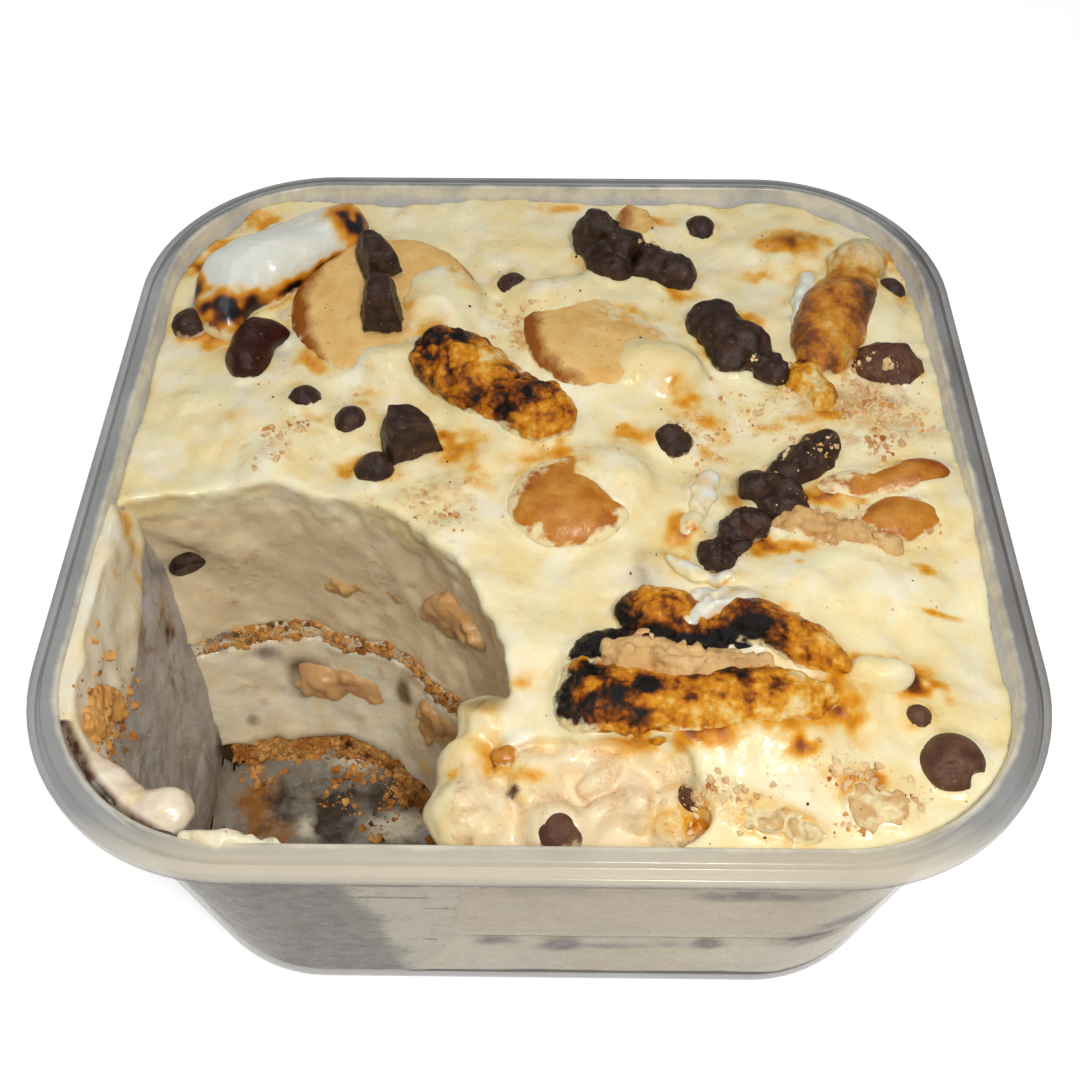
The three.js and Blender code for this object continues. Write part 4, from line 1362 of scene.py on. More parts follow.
def wafer_mesh(name, node, thickness, seed):
    """A turned biscuit: rings of points from the foot's middle to the top's middle."""
    middle, up, radius = wafer_frame(node)
    fine = np.linspace(0, len(WAFER_PROFILE) - 1, 60)
    steps = range(len(WAFER_PROFILE))
    reach = np.interp(fine, steps, [share for share, _ in WAFER_PROFILE]) * (radius - 0.3)
    rise = np.interp(fine, steps, [share for _, share in WAFER_PROFILE]) * thickness
    around = np.linspace(0, 2 * math.pi, 144, endpoint=False)
    side = np.cross(up, (0, 1, 0))
    side /= np.linalg.norm(side)
    ahead = np.cross(up, side)
    rings = []
    for r, z in zip(reach, rise):
        ring = middle + np.outer(np.cos(around) * r, side) + np.outer(np.sin(around) * r, ahead)
        rings.append(ring + up * (z - thickness / 2))
    points, quads, caps = loft(rings)
    outward = points - middle
    outward /= np.maximum(np.linalg.norm(outward, axis=1), 1e-6)[:, None]
    push = 0.5 * lumps(points, 7, seed) + 0.28 * lumps(points, 2.2, seed + 1)
    push = push + 0.14 * lumps(points, 0.9, seed + 2)
    points = points + outward * push[:, None]
    mesh = lofted_mesh(name, points, quads, caps)
    away = np.linalg.norm(np.cross(points - middle, up), axis=1) / radius
    left = smooth_step(-(points - middle)[:, 0] / radius, 0.2, 0.9)
    browned = smooth_step(away, 0.86 - 0.34 * left, 1.0) * (0.6 + 0.5 * left)
    set_mask(mesh, "toast", np.clip(browned + 0.15 * lumps(points, 5, seed + 3), 0, 1))
    set_mask(mesh, "lap", lap_of(points, seed))
    return mesh


WAFER_THICKNESS = 7.5
for number, node in enumerate(("wafer_left", "wafer_centre")):
    mesh = wafer_mesh(node + "_baked", node, WAFER_THICKNESS, 560 + 5 * number)
    new_piece(node + "_baked", mesh, BISCUIT, [node])
    bed_in(mesh)

# %% [markdown]
# ## The pudding's body
# One field describes everything soft that fills the tub: the waving top, the walls, and the
# hollow that the spoon left. The layers are that field cut at uneven levels, so their edges meet
# in the hollow and against the wall, as real layers do. Near a topping the cream creeps up its
# side, which is what makes the topping look sunk in and not set down.

# %% Body fields
CRUMB_TOP, CHIP_BOTTOM, CHIP_TOP, BAND_LEVEL = 5.65, 26.75, 30.35, 26.5
INTO_WALL, SMEAR_INTO_WALL, FILM_INTO_WALL = 0.25, 0.4, 0.08
CREEP = 2.6


def hollow_field(points):
    """Negative inside the scooped hollow, torn by the spoon on its sides."""
    field = joined_balls(points, HOLLOWS, 4)
    field = roughen(field, points * np.array([1, 1, 0.5], np.float32), [(9, 1.1, 31), (4, 0.6, 32)], 4)
    return roughen(field, points, [(2.4, 0.4, 33), (1.2, 0.2, 34)], 2)


def near_toppings(points, field, reach):
    """Distance to the nearest topping where a point is within reach of it and of the surface."""
    distance = np.full(field.size, reach, np.float32)
    flat = points.reshape(-1, 3)
    near = np.abs(field.ravel()) < reach
    for low, high, tree in beds:
        close = near & np.all((flat > low - reach) & (flat < high + reach), axis=1)
        for index in np.flatnonzero(close):
            found = tree.find_nearest(Vector(flat[index].tolist()), float(distance[index]))[3]
            if found is not None:
                distance[index] = found
    return distance.reshape(field.shape)


def top_field(points):
    """The waving top with its heaps and dip, crept up the toppings, less the hollow."""
    x, y, z = np.moveaxis(points, -1, 0)
    cream = z - cream_height(x, y)
    cream = soft_min(cream, joined_balls(points, HEAPS, 1.5), 2.0)
    cream = roughen(cream, points, [(11, 0.9, 41), (5, 0.7, 42)], 4)
    cream = soft_max(cream, -dip_field(points), 0.5)
    cream = roughen(cream, points, [(2.8, 0.3, 43), (1.4, 0.08, 44)])
    creep = near_toppings(points, cream, 3.2)
    cream = soft_min(cream, creep + 0.5 + 0.4 * lumps(points[:, :, 0], 3, 46)[..., None], CREEP)
    scooped = soft_max(cream, -hollow_field(points), 1.2)
    lobes = roughen(joined_balls(points, OVERHANG, 2), points, [(4, 0.9, 35), (1.8, 0.4, 36)])
    return np.maximum(soft_min(scooped, lobes, 1.6), wall_distance(points) - INTO_WALL)


def lower_field(points):
    """All that lies inside the tub's wall, less the hollow."""
    return soft_max(wall_distance(points) - INTO_WALL, -hollow_field(points), 1.2)


def between(field, points, low, high, seed):
    """The field cut at two levels, which wander where they come to light at its sides."""
    flat = points[:, :, 0] * np.array([1, 1, 0], np.float32)
    wander = 0.5 * lumps(flat, 6, seed)[..., None] * smooth_step(field, -3.5, -1)
    rise = 0.5 * lumps(flat, 6, seed + 1)[..., None] * smooth_step(field, -3.5, -1)
    z = points[..., 2]
    return np.maximum(np.maximum(field, low + wander - z), z - high - rise)


print(len(beds), "toppings for the cream to creep up")

# %% Top cream
TOP_STEP, CUT_STEP, OPEN_TOP = 0.6, 1.5, 99
BAND_FROM, BAND_TO, RELIEF_FROM, RELIEF_TO = 29, 32, 59, 75
top_axes = [
    even_axis(-BODY_REACH, BODY_REACH, TOP_STEP),
    even_axis(-BODY_REACH, BODY_REACH, TOP_STEP),
    np.concatenate([
        even_axis(BAND_FROM, BAND_TO, TOP_STEP)[:-1],
        np.arange(BAND_TO, RELIEF_FROM, CUT_STEP, dtype=np.float32),
        even_axis(RELIEF_FROM, RELIEF_TO, TOP_STEP),
    ]),
]


def top_layer_field(points):
    """The top field from the chip band up."""
    return between(top_field(points), points, CHIP_TOP, OPEN_TOP, 61)


top_mesh = field_mesh("cream_top", top_layer_field, top_axes)
print("top cream with", len(top_mesh.vertices), "points")

# %% Places that are toasted, stained or strewn
TOAST_PATCHES = [
    ((55, -42), (4.6, 3.4), 0.95), ((52, -38), (3, 2), 0.3), ((36, -53), (3.4, 1.8), 0.8),
    ((45.6, -57), (2.2, 1.8), 0.7), ((43, -57), (7, 4), 0.28), ((30, -52), (14, 2.6), 0.32),
    ((43, -44), (4, 4), 0.35), ((21, -62), (5, 2.5), 0.35), ((35.5, 34.5), (5, 2.4), 0.5),
    ((39.8, 9.3), (5, 1.6), 0.55), ((43, -6.5), (6, 2), 0.6), ((51, 12), (10, 6), 0.24),
    ((47, 55.7), (7, 2.6), 0.8), ((41, 47), (3.6, 2.4), 0.45), ((66, 54), (3, 5), 0.4),
    ((60, -13.8), (8, 3.4), 0.25), ((36, -18.4), (7, 2), 0.4), ((39.5, -21.7), (1, 0.8), 0.6),
    ((58.3, -22.5), (2.4, 1.6), 0.45), ((60, -29.3), (4.4, 0.5), 0.5), ((51, -28.6), (1.6, 1.1), 0.3),
    ((-65.5, 49), (3, 3), 0.6), ((-60, 54.5), (4, 4), 0.45), ((-54.4, 61), (4, 3), 0.6),
    ((-58, 30), (3, 6), 0.35), ((-40, 24), (5, 3), 0.3), ((20.5, 62), (5, 2), 0.3),
    ((3, 66), (5, 1.6), 0.4), ((-1.4, -56.2), (3, 1.3), 0.24), ((0.4, -50.7), (1.5, 3), 0.18),
    ((-2.2, -61), (2.2, 2.4), 0.18), ((-12, -56.4), (1.6, 4), 0.25), ((-8.4, -50.4), (2.6, 1.4), 0.16),
    ((-6.4, -45.4), (4.4, 2), 0.2), ((16, -51.2), (5, 1.9), 0.5), ((23, -51.6), (6, 2.4), 0.6),
    ((33, -51), (7, 2.4), 0.62), ((41.6, -47.4), (4, 3), 0.42), ((36.6, -52.6), (2.2, 1.5), 0.7),
    ((45, -50), (4, 3), 0.3), ((22, -15), (4, 4), 0.4), ((-1, -42), (5, 1.8), 0.3),
    ((-14, 4), (5, 4), 0.5), ((14, 6), (4, 3), 0.5), ((-30, -2), (4, 3), 0.4), ((24, 14), (4, 4), 0.4),
    ((0, 0), (8, 6), 0.2), ((-20, 28), (6, 4), 0.25), ((-38, 8), (6, 3), 0.34),
    ((-30, 14), (3, 5), 0.3), ((-10, -4), (5, 3), 0.4), ((28, 8), (4, 6), 0.34),
    ((24, 42), (5, 3), 0.4), ((0, 44), (5, 3), 0.3), ((-52, 8), (4, 7), 0.2), ((30, -8), (5, 4), 0.3),
]
STAINS = [
    ((34, -5), (5, 5), 0.5), ((29, -19), (5, 5), 0.55), ((-54, 33), (4, 4), 0.5),
    ((-46.5, 37.5), (3, 3.4), 0.3), ((-63, 37.5), (1.6, 3.4), 0.85), ((-46.8, 30), (3, 3), 0.5),
    ((21, -59), (2.4, 2), 0.6), ((57, -50), (4, 4), 0.2), ((47, 55.7), (5, 2), 0.6),
    ((-24, 4), (6, 5), 0.3), ((-7, -44.6), (5, 1.8), 0.55), ((-3.4, -58.4), (0.9, 0.7), 1.3),
    ((18, -22), (4, 5), 0.6), ((40, -2), (6, 6), 0.5), ((12, 48), (8, 5), 0.35),
    ((-50, 26), (6, 5), 0.35), ((33, 26), (6, 5), 0.35),
]
STREWN = [
    ((52, 12), (11, 9), 1.2), ((49, -13), (10, 5), 1.0), ((42, -59), (10, 5), 0.7),
    ((21, -40), (9, 3), 0.5), ((67, 54), (4, 5), 0.7), ((36, 16), (6, 6), 0.5),
    ((-58, 56), (8, 6), 0.4), ((26, -62), (8, 4), 0.6), ((-16, -8), (8, 6), 0.6),
    ((-34, 20), (6, 4), 0.4), ((-2, 30), (6, 6), 0.5), ((26, 4), (5, 6), 0.5), ((-44, 4), (6, 5), 0.4),
    ((46, 10), (8, 12), 0.5), ((-40, 33), (8, 6), 0.4), ((20, 54), (6, 4), 0.4),
]


def patches(points, places):
    """The strongest of many soft patches, each with its place, spread and strength."""
    total = np.zeros(len(points))
    for at, spread, strength in places:
        total = np.maximum(total, strength * bell(points, at, spread))
    return total


def toasted_near(points, reach):
    """How strongly a point is browned by the torched pieces close to it."""
    distance = near_toppings(points, np.zeros(len(points), np.float32), reach)
    return np.clip(1 - distance / reach, 0, 1)


print(len(TOAST_PATCHES), "toasted places,", len(STAINS), "stains,", len(STREWN), "strewn places")

# %% Dark spots along the wall
SPOT_SPACING, SPOT_SEED = 12.0, 73
FRONT_SPOTS = [
    (-19, 26.5, 4, 2.4, 0.8), (-6.8, 24.4, 2.8, 2.8, 1.6), (3.6, 22.6, 3.4, 3, 2),
    (12, 22.4, 7, 1.8, 1.1), (22, 23.4, 4, 1.8, 0.9), (26.7, 24, 3, 2.6, 1.7), (43, 26, 5, 3.6, 1.9),
    (49, 31, 5, 4, 1.9), (34, 49.6, 11, 2.4, 1.4), (0, 52, 16, 4, 0.5),
]


def random_spots(rng, level):
    """A row of spots along one wall: place, height, half width, half height and strength."""
    spots = []
    for place in np.arange(-54, 56, SPOT_SPACING):
        at = place + rng.uniform(-4, 4)
        height = level + rng.uniform(-2, 2)
        spots.append((at, height, rng.uniform(2, 5), rng.uniform(1.6, 3.4), rng.uniform(0.3, 1.2)))
    return spots


def wall_spots(points, level, seed):
    """Soft dark spots along the tub's wall, unevenly spaced and sized, where chips press on it."""
    rng = np.random.default_rng(seed)
    mask = np.zeros(len(points))
    for side in range(4):
        turn = side * math.pi / 2
        along = points[:, 0] * math.cos(turn) + points[:, 1] * math.sin(turn)
        face = -points[:, 0] * math.sin(turn) + points[:, 1] * math.cos(turn)
        spots = FRONT_SPOTS if side == 0 else random_spots(rng, level)
        for at, height, width, tall, strength in spots:
            near = ((along - at) / width) ** 2 + ((points[:, 2] - height) / tall) ** 2
            mask = np.maximum(mask, strength * np.exp(-near) * (face < -50))
    return mask * (0.8 + 0.6 * lumps(points, 3, seed + 1))


print(len(FRONT_SPOTS), "spots in front")

# %% Painting the top
top_points = mesh_points(top_mesh)
on_top = smooth_step(top_points[:, 2], 60, 63)
in_dip = 1 - smooth_step(dip_outline(top_points), -1.2, 0.3)
broken = 0.75 + 0.6 * lumps(top_points, 3.5, 51) + 0.45 * lumps(top_points, 1.5, 57)
faint = 0.14 * smooth_step(lumps(top_points, 8, 52) + 0.5 * lumps(top_points, 3, 53), 0.2, 0.9)
haloed = smooth_step(lumps(top_points, 7, 60) + 0.4 * lumps(top_points, 3, 62), -0.3, 0.5)
halo = 0.34 * toasted_near(top_points, 4.6) ** 2 * haloed
toast = patches(top_points, TOAST_PATCHES) * broken * 1.2 + faint + halo * broken
set_mask(top_mesh, "toast", np.clip(toast * (0.4 + 0.6 * on_top), 0, 1))
stain = patches(top_points, STAINS) * (0.5 + 0.9 * np.clip(lumps(top_points, 3, 54) + 0.3, 0, 1))
stain = np.maximum(stain, wall_spots(top_points, BAND_LEVEL, SPOT_SEED))
set_mask(top_mesh, "cocoa", np.clip(stain, 0, 1))
set_mask(top_mesh, "cut", np.clip(1 - on_top + in_dip, 0, 1))
cut_bits = (1 - on_top) * smooth_step(lumps(top_points, 7, 55), 0.15, 0.6)
strewn = patches(top_points, STREWN) * smooth_step(lumps(top_points, 5, 56), -0.6, 0.4) * on_top
dusted = smooth_step(lumps(top_points, 8, 58) + 0.4 * lumps(top_points, 3, 59), 0.35, 0.9)
strewn = strewn + 0.16 * dusted * on_top
frayed = 0.5 * in_dip * on_top * smooth_step(lumps(top_points, 5, 63), -0.8, 0.6)
set_mask(top_mesh, "crumb", np.clip(strewn + 0.2 * cut_bits + frayed, 0, 1))
new_piece("cream_top", top_mesh, CREAM, ["pudding_top"])

# %% [markdown]
# ## The lower layers
# Under the top cream lies a thin band where chips and biscuit bits were strewn, then the lower
# cream, and at the very bottom a crumb base. Only their edges show: in the hollow, and round the
# wall through the frosted plastic, where the chips of the band press against it as dark spots.

# %% Chip band, lower cream and crumb base


def add_layer(name, material, node, step, levels, seed, rough=()):
    """A layer between two levels, rough where it was cut and smooth against the wall."""
    low, high = levels
    upright = even_axis(low - 1.4, high + 1.4, min(step, 0.7))
    axes = [even_axis(-LAYER_REACH, LAYER_REACH, step)] * 2 + [upright]

    def field(points):
        smooth = lower_field(points)
        body = np.where(wall_distance(points) > -2, smooth, roughen(smooth, points, rough))
        return between(body, points, low, high, seed)

    mesh = field_mesh(name, field, axes)
    points = mesh_points(mesh)
    by_wall = smooth_step(wall_distance(points), -3, -2)
    toast = 0.3 * (1 - by_wall) * smooth_step(lumps(points, 5, seed + 2), 0.1, 0.8)
    set_mask(mesh, "toast", np.maximum(toast, by_wall * (node == "crumb_base")))
    set_mask(mesh, "crumb", 0.55 * (1 - by_wall) * smooth_step(lumps(points, 6, seed + 3), 0.1, 0.7))
    base_line = smooth_step(-points[:, 2], -8, -5) * (0.6 + 0.5 * lumps(points, 5, 74))
    in_cut = smooth_step(lumps(points, 5, seed + 4), 0.35, 0.8) * (wall_distance(points) < -3)
    spots = wall_spots(points, BAND_LEVEL, SPOT_SEED)
    set_mask(mesh, "cocoa", np.clip(np.maximum(np.maximum(spots, base_line), 0.8 * in_cut), 0, 1))
    new_piece(name, mesh, material, [node])


add_layer(
    "chip_band", CUT_CREAM, "chip_layer",
    step=0.9, levels=(CHIP_BOTTOM, CHIP_TOP + 0.5), seed=60)
add_layer(
    "cream_lower", CUT_CREAM, "pudding_base",
    step=1.0, levels=(CRUMB_TOP, CHIP_BOTTOM), seed=59)
add_layer(
    "crumb_base_layer", BROWN_CRUMB, "crumb_base",
    step=0.9, levels=(FLOOR + 0.3, CRUMB_TOP), seed=58, rough=[(3.2, 1.2, 75), (1.7, 1.0, 76)])

# %% [markdown]
# ## Cream on the wall
# Where the helping was taken, cream still hangs on the inside of the wall under the lip, folded
# and streaked with chocolate, with a lump at the corner and thin smears down on the floor. These
# are skins: the distance from the wall decides how thick they are.

# %% Wall cream


def smear_field(points):
    """Cream as a thin, uneven skin on the tub's inner wall inside the hollow."""
    z = points[..., 2]
    inward = -wall_distance(points)
    shape = ball_field(points, (-67, -33, 62), (16, 26, 13)) + 2.2 * lumps(points, 6, 81)
    thick = 2.0 * smooth_step(-shape, -0.5, 3.5) + 0.7 * lumps(points, 4, 82) * smooth_step(-shape, 0, 2)
    skin = np.maximum(inward - thick, -inward - SMEAR_INTO_WALL)
    skin = np.maximum(skin, z - 69 - 0.7 * lumps(points, 5, 83))
    return np.maximum(skin, shape * 0.6)


CORNER_LUMPS = [
    ((-56.6, -60, 63.6), (7.4, 3, 2.3), -38), ((-50.8, -61.6, 63.8), (3.6, 3.6, 2.6), -10),
    ((-62.2, -55.4, 64), (3.6, 1.8, 1.6), -50),
]


def corner_lump_field(points):
    lump = joined_balls(points, CORNER_LUMPS, 2.2)
    lump = roughen(lump, points, [(5, 0.9, 84), (2.4, 0.5, 85), (1.2, 0.2, 88)])
    return np.maximum(lump, wall_distance(points) - INTO_WALL)


WALL_STREAKS = [
    ((-68.6, -12, 65), (5, 3, 3), 0.55), ((-68, -14, 60.5), (5, 2.2, 4), 0.6),
    ((-67, -17, 55), (5, 1.5, 5), 0.55), ((-66.4, -22, 50), (5, 1.5, 5), 0.6),
    ((-66.4, -27, 47), (5, 2, 3), 0.5), ((-69, -22, 64), (5, 1.2, 3), 0.4),
]


def add_wall_piece(name, field, low, high, step, replaced, material=WALL_CREAM):
    mesh = field_mesh(name, field, [even_axis(a, b, step) for a, b in zip(low, high)])
    points = mesh_points(mesh)
    slanted = points @ np.array([[1, 0, 0], [0, 0.35, 0], [0, -0.25, 1]])
    streak = smooth_step(creases(slanted, 8, 86), 0.62, 0.95)
    streak = streak * smooth_step(lumps(points, 9, 89), -0.1, 0.5)
    painted = patches(points, WALL_STREAKS) * (0.8 + 0.8 * lumps(points, 3, 90))
    faintly = 0.2 * smooth_step(lumps(points, 5, 87), 0.2, 0.8)
    set_mask(mesh, "toast", np.clip(np.maximum(faintly, painted), 0, 1))
    at_corner = (points[:, 1] < -50) * (points[:, 0] < -50)
    by_wall = smooth_step(wall_distance(points), -2, -0.6)
    # Darkens the cream where it meets the wall just under the lip at the front-left corner.
    under_lip = 0.9 * by_wall * smooth_step(points[:, 2], TOP_ZONE, TOP_ZONE + 2) * at_corner
    set_mask(mesh, "cocoa", np.clip(np.maximum(0.5 * streak, under_lip), 0, 1))
    new_piece(name, mesh, material, replaced)


add_wall_piece(
    "wall_smear", smear_field, low=(-70, -63, 44), high=(-56, -5, 71), step=0.5, replaced=["wall_cream"])
add_melted(
    "crumb_clump_on_wall", [], GOLDEN_CRUMB, "biscuit",
    [
        ((-65.4, -42.6, -6), (2, 3.6, 4), 0), ((-64.8, -47.4, -5), (2.2, 3.4, 3.4), 0),
        ((-65, -39.6, -11), (1.6, 2.2, 3), 0),
    ],
    heat=(0.1, 0.3, []),
    seed=866, blend=1.6, step=0.26, bumps=[(3, 0.9, 61)], blisters=CRUMBLE, lapped=0)
add_wall_piece(
    "corner_lump", corner_lump_field, low=(-69, -69, 54), high=(-44, -43, 71), step=0.4,
    replaced=["rim_lump"], material=LUMP_CREAM)

# %% Scraped residue
# Dark dabs on the residue: partly chocolate, partly painted shade on the floor of the hollow.
RESIDUE_DARK_AND_SHADE = [
    ((-48, -29, 2), (5, 5, 4), 0.8), ((-38.5, -31, 2), (5, 8, 4), 1.2), ((-31, -27, 2), (4, 5, 4), 0.9),
    ((-60, -16, 6), (4, 6, 6), 0.8), ((-22, -26, 2), (9, 5, 5), 1.1), ((-17, -36, 2), (4, 4, 4), 1.0),
    ((-66, -16, 40), (4, 2.2, 6), 0.6), ((-66, -22, 34), (4, 2.4, 4), 0.5),
    ((-40, -12, 2), (8, 4, 3), 0.8), ((-28, -50, 2), (6, 4, 3), 0.7), ((-54, -62, 40), (6, 6, 8), 0.9),
]
RESIDUE_AMBER = [
    ((-53, -30, 2), (4, 7, 4), 1.1), ((-49, -35, 2), (5, 4, 4), 0.8), ((-26, -20, 2), (5, 3, 3), 0.6),
    ((-65, -20, 28), (4, 3, 4), 0.6), ((-66, -14, 42), (4, 4, 8), 0.6),
    ((-66, -22, 52), (4, 3, 6), 0.5),
]
RESIDUE_CREAM = [
    ((-43, -34, 2), (3, 3, 4), 0.9), ((-25, -33, 2), (8, 3.6, 4), 1.0), ((-52, -40, 2), (5, 4, 4), 0.8),
    ((-36, -20, 2), (6, 3, 3), 0.7),
]


def residue_finish():
    """What a spoon leaves on plastic: a thin grey film with dabs of cream, syrup and chocolate; painted
    shade darkens it low down, and some dark dabs are painted shade too.
    """
    finish = Finish("scraped_residue")
    recipe, place = finish.recipe, finish.place
    cloud = recipe.remap(recipe.noise(place, 7), 0.35, 0.65)
    film = recipe.mix(cloud, srgb(164, 160, 158), srgb(192, 188, 188))
    # Painted shade: the film turns a dark murky brown where the low mask is high.
    low_painted_shade = recipe.mix(recipe.noise(place, 5, 4.0), srgb(96, 86, 66), srgb(146, 138, 122))
    film = recipe.mix(recipe.times(recipe.mask("low"), 0.85), film, low_painted_shade)
    wander = recipe.swing(place, 3, -0.4, 0.4, 4.0)
    # The dark cocoa dabs are chocolate in part and painted shade in part.
    dabs = {"crumb": srgb(238, 230, 204), "toast": srgb(150, 94, 22), "cocoa": srgb(52, 38, 24)}
    for label, colour in dabs.items():
        share = recipe.remap(recipe.plus(recipe.mask(label), wander), 0.2, 0.85)
        film = recipe.mix(share, film, colour)
    finish.set(Base_Color=film, Roughness=recipe.swing(place, 2, 0.2, 0.45), Specular_IOR_Level=0.5)
    finish.bump(recipe.noise(place, 2.0, 4.0), 0.5, 0.7)
    return finish.material


def residue_field(points):
    """A skin on the tub's floor and wall, only inside the hollow, thick in places."""
    inward = -soft_max(wall_distance(points), FLOOR - points[..., 2], 2.5)
    thick = np.maximum(0.85 + 0.55 * lumps(points, 6, 91) + 0.3 * lumps(points, 2.4, 92), 0.6)
    skin = np.maximum(inward - thick, -inward - FILM_INTO_WALL)
    inside = joined_balls(points, HOLLOWS, 4) - 3
    top = points[..., 2] - 66 - 1.2 * lumps(points, 6, 93)
    return np.maximum(np.maximum(skin, inside), top)


def add_residue():
    axes = [even_axis(-BODY_REACH, 6, TOP_STEP)] * 2 + [even_axis(1, 70, TOP_STEP)]
    mesh = field_mesh("scraped_residue", residue_field, axes)
    points = mesh_points(mesh)
    across = points[:, 0] + 0.12 * (points[:, 2] - 60) + 2.4 * lumps(points, 9, 97)
    by_cut = smooth_step(across, -31, -25) * smooth_step(-points[:, 1], 50, 58)
    # Dark patches low down and a dark band along the front are painted shade, on top of the chocolate
    # dabs.
    random_dark_and_shade = 0.3 * smooth_step(lumps(points, 7, 94), 0.35, 0.8) * (points[:, 2] < 20)
    front_painted_shade = smooth_step(-points[:, 1], 56, 60)
    dark = np.maximum(patches(points, RESIDUE_DARK_AND_SHADE), (random_dark_and_shade + 0.45 * front_painted_shade) * (1 - by_cut))
    set_mask(mesh, "cocoa", dark)
    set_mask(mesh, "toast", patches(points, RESIDUE_AMBER))
    set_mask(mesh, "crumb", np.maximum(patches(points, RESIDUE_CREAM), by_cut))
    # The low mask says where painted shade darkens the film: near the floor and along the front.
    set_mask(mesh, "low", np.maximum(1 - smooth_step(points[:, 2], 3, 16), front_painted_shade))
    new_piece("scraped_residue", mesh, residue_finish())


add_residue()

# %% Cream on the lip
LIP_BITS = [
    ((-41, -67.7, 69.4), (3.7, 1.5, 1.7)), ((-36.4, -68.2, 69), (3.4, 1.1, 1)),
    ((-45.2, -67.4, 69.2), (2.2, 1.2, 1.2)),
]


def lip_bits_field(points):
    field = roughen(joined_balls(points, LIP_BITS, 1.2), points, [(2.6, 0.7, 98), (1.2, 0.3, 99)])
    return np.maximum(field, TUB_HEIGHT - 1 - points[..., 2])


add_wall_piece(
    "cream_on_lip", lip_bits_field, low=(-50, -72, 67), high=(-31, -64, 73), step=0.3, replaced=[])

# %% [markdown]
# ## Crumbs, flecks and dust
# Broken biscuit lies all over the top, thick in some places. It repeats thousands of times, so it
# is scattered by Geometry Nodes: points are thrown on the surface where a mask allows, and each
# gets a small rough bit, turned and stretched at random. One tree serves every kind of crumb.

# %% Strewing tree
FULL_TURNS = (6.28, 6.28, 6.28)


def strewing_tree():
    """Throws bits on a surface: rough little balls, each turned, stretched and sized by chance."""
    tree = bpy.data.node_groups.new("strewn bits", "GeometryNodeTree")
    sockets = {
        "Surface": ("NodeSocketGeometry", None),
        "Bits per Metre": (FLOAT, 1e5),
        "Smallest": (FLOAT, 0.0002),
        "Largest": (FLOAT, 0.0008),
        "Seed": ("NodeSocketInt", 1),
        "Finish": ("NodeSocketMaterial", None),
    }
    for label, (kind, value) in sockets.items():
        socket = tree.interface.new_socket(label, in_out="INPUT", socket_type=kind)
        if value is not None:
            socket.default_value = value
    tree.interface.new_socket("Bits", in_out="OUTPUT", socket_type="NodeSocketGeometry")
    recipe = Recipe(tree)
    start = recipe.add("NodeGroupInput").outputs
    mask = recipe.add("GeometryNodeInputNamedAttribute", {"Name": "strewn"}, data_type="FLOAT")
    density = recipe.times(mask.outputs["Attribute"], start["Bits per Metre"])
    faces = {"Mesh": start["Surface"], "Seed": start["Seed"]}
    thrown = recipe.add("GeometryNodeDistributePointsOnFaces", faces)
    recipe.put(thrown.inputs["Density"], density)
    ball = recipe.add("GeometryNodeMeshIcoSphere", {"Radius": 1.0, "Subdivisions": 1}).outputs["Mesh"]
    rough = recipe.add("ShaderNodeTexNoise", {"Scale": 1.3, "Detail": 2.0}).outputs["Color"]
    push = recipe.add("ShaderNodeVectorMath", {0: rough, 1: (0.5, 0.5, 0.5)}, operation="SUBTRACT")
    push = recipe.add("ShaderNodeVectorMath", {0: push.outputs[0], 3: 2.2}, operation="SCALE")
    bit = recipe.add("GeometryNodeSetPosition", {"Geometry": ball, "Offset": push.outputs[0]})
    turn = recipe.add("FunctionNodeRandomValue", {"Seed": 2}, data_type="FLOAT_VECTOR")
    recipe.put(turn.inputs[1], FULL_TURNS)
    chance = recipe.add("FunctionNodeRandomValue", {"Seed": 3}, data_type="FLOAT").outputs[1]
    growth = recipe.math("POWER", chance, 5.0)
    reach = recipe.remap(growth, 0.0, 1.0, start["Smallest"], start["Largest"])
    stretch = recipe.add("FunctionNodeRandomValue", {"Seed": 4}, data_type="FLOAT_VECTOR")
    recipe.put(stretch.inputs[0], (0.5, 0.5, 0.5))
    size = recipe.add("ShaderNodeVectorMath", {0: stretch.outputs[0], 3: reach}, operation="SCALE")
    seats = {"Points": thrown.outputs["Points"], "Instance": bit.outputs["Geometry"]}
    placed = recipe.add("GeometryNodeInstanceOnPoints", seats)
    recipe.put(placed.inputs["Rotation"], turn.outputs[0])
    recipe.put(placed.inputs["Scale"], size.outputs[0])
    real = recipe.add("GeometryNodeRealizeInstances", {"Geometry": placed.outputs["Instances"]})
    dressed = {"Geometry": real.outputs["Geometry"], "Material": start["Finish"]}
    done = recipe.add("GeometryNodeSetMaterial", dressed)
    recipe.put(recipe.add("NodeGroupOutput").inputs["Bits"], done.outputs["Geometry"])
    return tree


STREWING = strewing_tree()


def strew(name, surface, settings, finish):
    """Scatters bits on a surface with the tree's inputs set, and keeps them as one plain mesh."""
    carrier = new_object("carrier", surface)
    modifier = carrier.modifiers.new("strewing", "NODES")
    modifier.node_group = STREWING
    for socket in STREWING.interface.items_tree:
        if socket.in_out == "INPUT" and socket.name in settings:
            modifier[socket.identifier] = settings[socket.name]
        if socket.name == "Finish":
            modifier[socket.identifier] = finish
    mesh = worked_mesh(carrier)
    points = mesh_points(mesh)
    set_mask(mesh, "toast", np.clip(0.4 + 0.6 * lumps(points, 2.2, 95), 0, 1))
    new_piece(name, mesh, finish)


print("strewing tree with", len(STREWING.nodes), "nodes")

# %% Crumbs and flecks


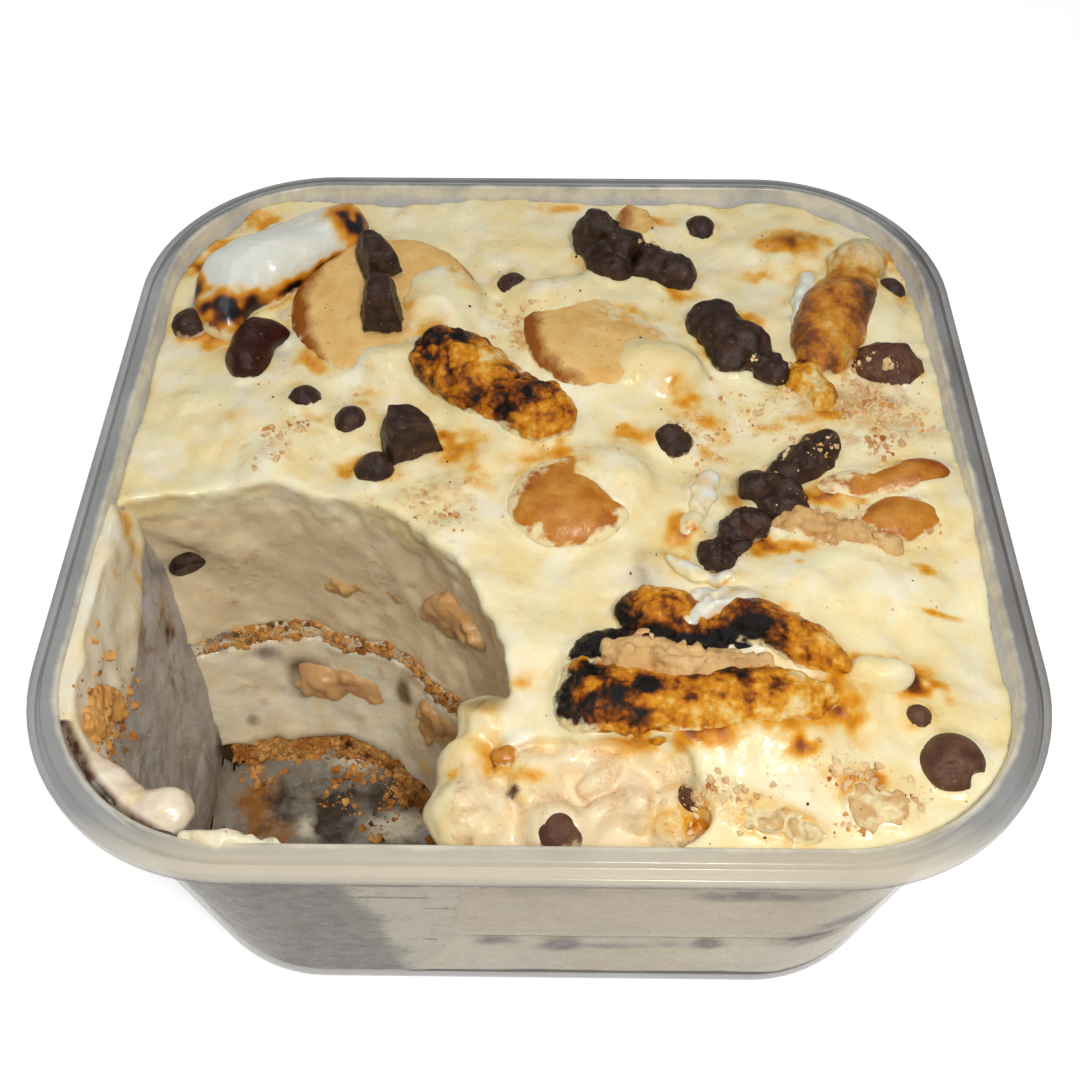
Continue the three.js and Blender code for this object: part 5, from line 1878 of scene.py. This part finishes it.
def strewn_surface(names, mask_of, facing=0.15, above=TOP_ZONE):
    """One mesh of the named pieces' faces that look up and lie high, with a share of bits."""
    points, faces, count = [], [], 0
    for name in names:
        mesh = bpy.data.objects[name].data
        mesh.calc_loop_triangles()
        triangles = read_rows(mesh.loop_triangles, "vertices", np.int32)
        normals = read_rows(mesh.loop_triangles, "normal")
        own = mesh_points(mesh)
        high = own[triangles].mean(1)[:, 2]
        keep = (normals[:, 2] > facing) & (high > above)
        faces.append(triangles[keep] + count)
        points.append(own)
        count += len(own)
    surface = mesh_from("strewn_surface", np.concatenate(points), np.concatenate(faces))
    set_mask(surface, "strewn", mask_of(np.concatenate(points)))
    return surface


def crumb_share(points):
    wander = smooth_step(lumps(points, 4, 96) + 0.5 * lumps(points, 1.8, 97), -0.4, 0.7)
    return np.clip(patches(points, STREWN) * wander - 0.04, 0, 1)


def fleck_share(points):
    wander = smooth_step(lumps(points, 6, 98), -0.2, 0.8)
    return np.clip(patches(points, STAINS) * wander + 0.05 * wander + 0.02, 0, 1)


CLINGING = [((-65, -44, 58), (6, 6, 6), 0.5), ((-65, -38, 50), (5, 4, 6), 0.3)]


def cut_share(points):
    """Crumbs torn loose by the spoon: on the cut's crumb base and band, below it, and on the wall."""
    depth = hollow_field(points)
    free = smooth_step(-wall_distance(points), 1.5, 3)
    torn = free * (np.abs(depth) < 1.2) * (0.7 + 0.5 * lumps(points, 3, 101))
    fallen = 0.5 * free * (depth > -9) * (points[:, 2] < 4)
    fallen = fallen * smooth_step(lumps(points, 4, 102), -0.3, 0.5)
    low_bits = np.maximum(torn, fallen) * (points[:, 2] < 34)
    share = np.maximum(low_bits, patches(points, CLINGING))
    return np.clip(share * (points[:, 2] > FLOOR + 0.5), 0, 1)


made = bpy.data.objects.keys()
rough_pieces = [name for name in made if name.endswith("_worn") or "chocolate" in name]
crumb_surface = strewn_surface(["cream_top"] + rough_pieces, crumb_share)
fleck_surface = strewn_surface(["cream_top"], fleck_share)
CUT_PIECES = ["crumb_base_layer", "chip_band", "scraped_residue", "wall_smear"]
cut_surface = strewn_surface(CUT_PIECES, cut_share, facing=-2, above=0)
STREWN_BITS = [
    ("pale_crumbs", crumb_surface, 7e6, (0.00014, 0.001), 5, SANDY_CRUMB, "biscuit"),
    ("golden_crumbs", crumb_surface, 1.6e6, (0.00012, 0.0008), 6, GOLDEN_CRUMB, "biscuit"),
    ("cut_crumbs", cut_surface, 2.4e6, (0.0003, 0.0013), 8, GOLDEN_CRUMB, "biscuit"),
    ("cut_dark_crumbs", cut_surface, 6e5, (0.0003, 0.0011), 9, BROWN_CRUMB, "dark_crumb"),
    ("cocoa_flecks", fleck_surface, 2.5e5, (0.00012, 0.0004), 7, CHOCOLATE, "chocolate"),
]
for name, surface, density, (smallest, largest), seed, finish, slot in STREWN_BITS:
    settings = {"Bits per Metre": density, "Smallest": smallest, "Largest": largest, "Seed": seed}
    strew(name, surface, settings, finish)

# %% Floor
FLOOR_HALF = 3000.0
FLOOR_SHADE, FLOOR_LIGHT = (0.9, 0.9, 0.9, 1), (0.94, 0.94, 0.94, 1)


def add_floor():
    side = FLOOR_HALF
    points = np.array([(-side, -side, 0), (side, -side, 0), (side, side, 0), (-side, side, 0)])
    mesh = mesh_from("studio_floor", points, np.array([[0, 1, 2, 3]]))
    finish = Finish("pale_floor")
    tone = finish.recipe.swing(finish.place, 120, detail=2.0)
    finish.set(Base_Color=finish.recipe.mix(tone, FLOOR_SHADE, FLOOR_LIGHT), Roughness=0.9)
    finish.set(Emission_Color=(1, 1, 1, 1), Emission_Strength=0.6)
    mesh.materials.append(finish.material)
    floor = new_object("studio_floor", mesh)


add_floor()
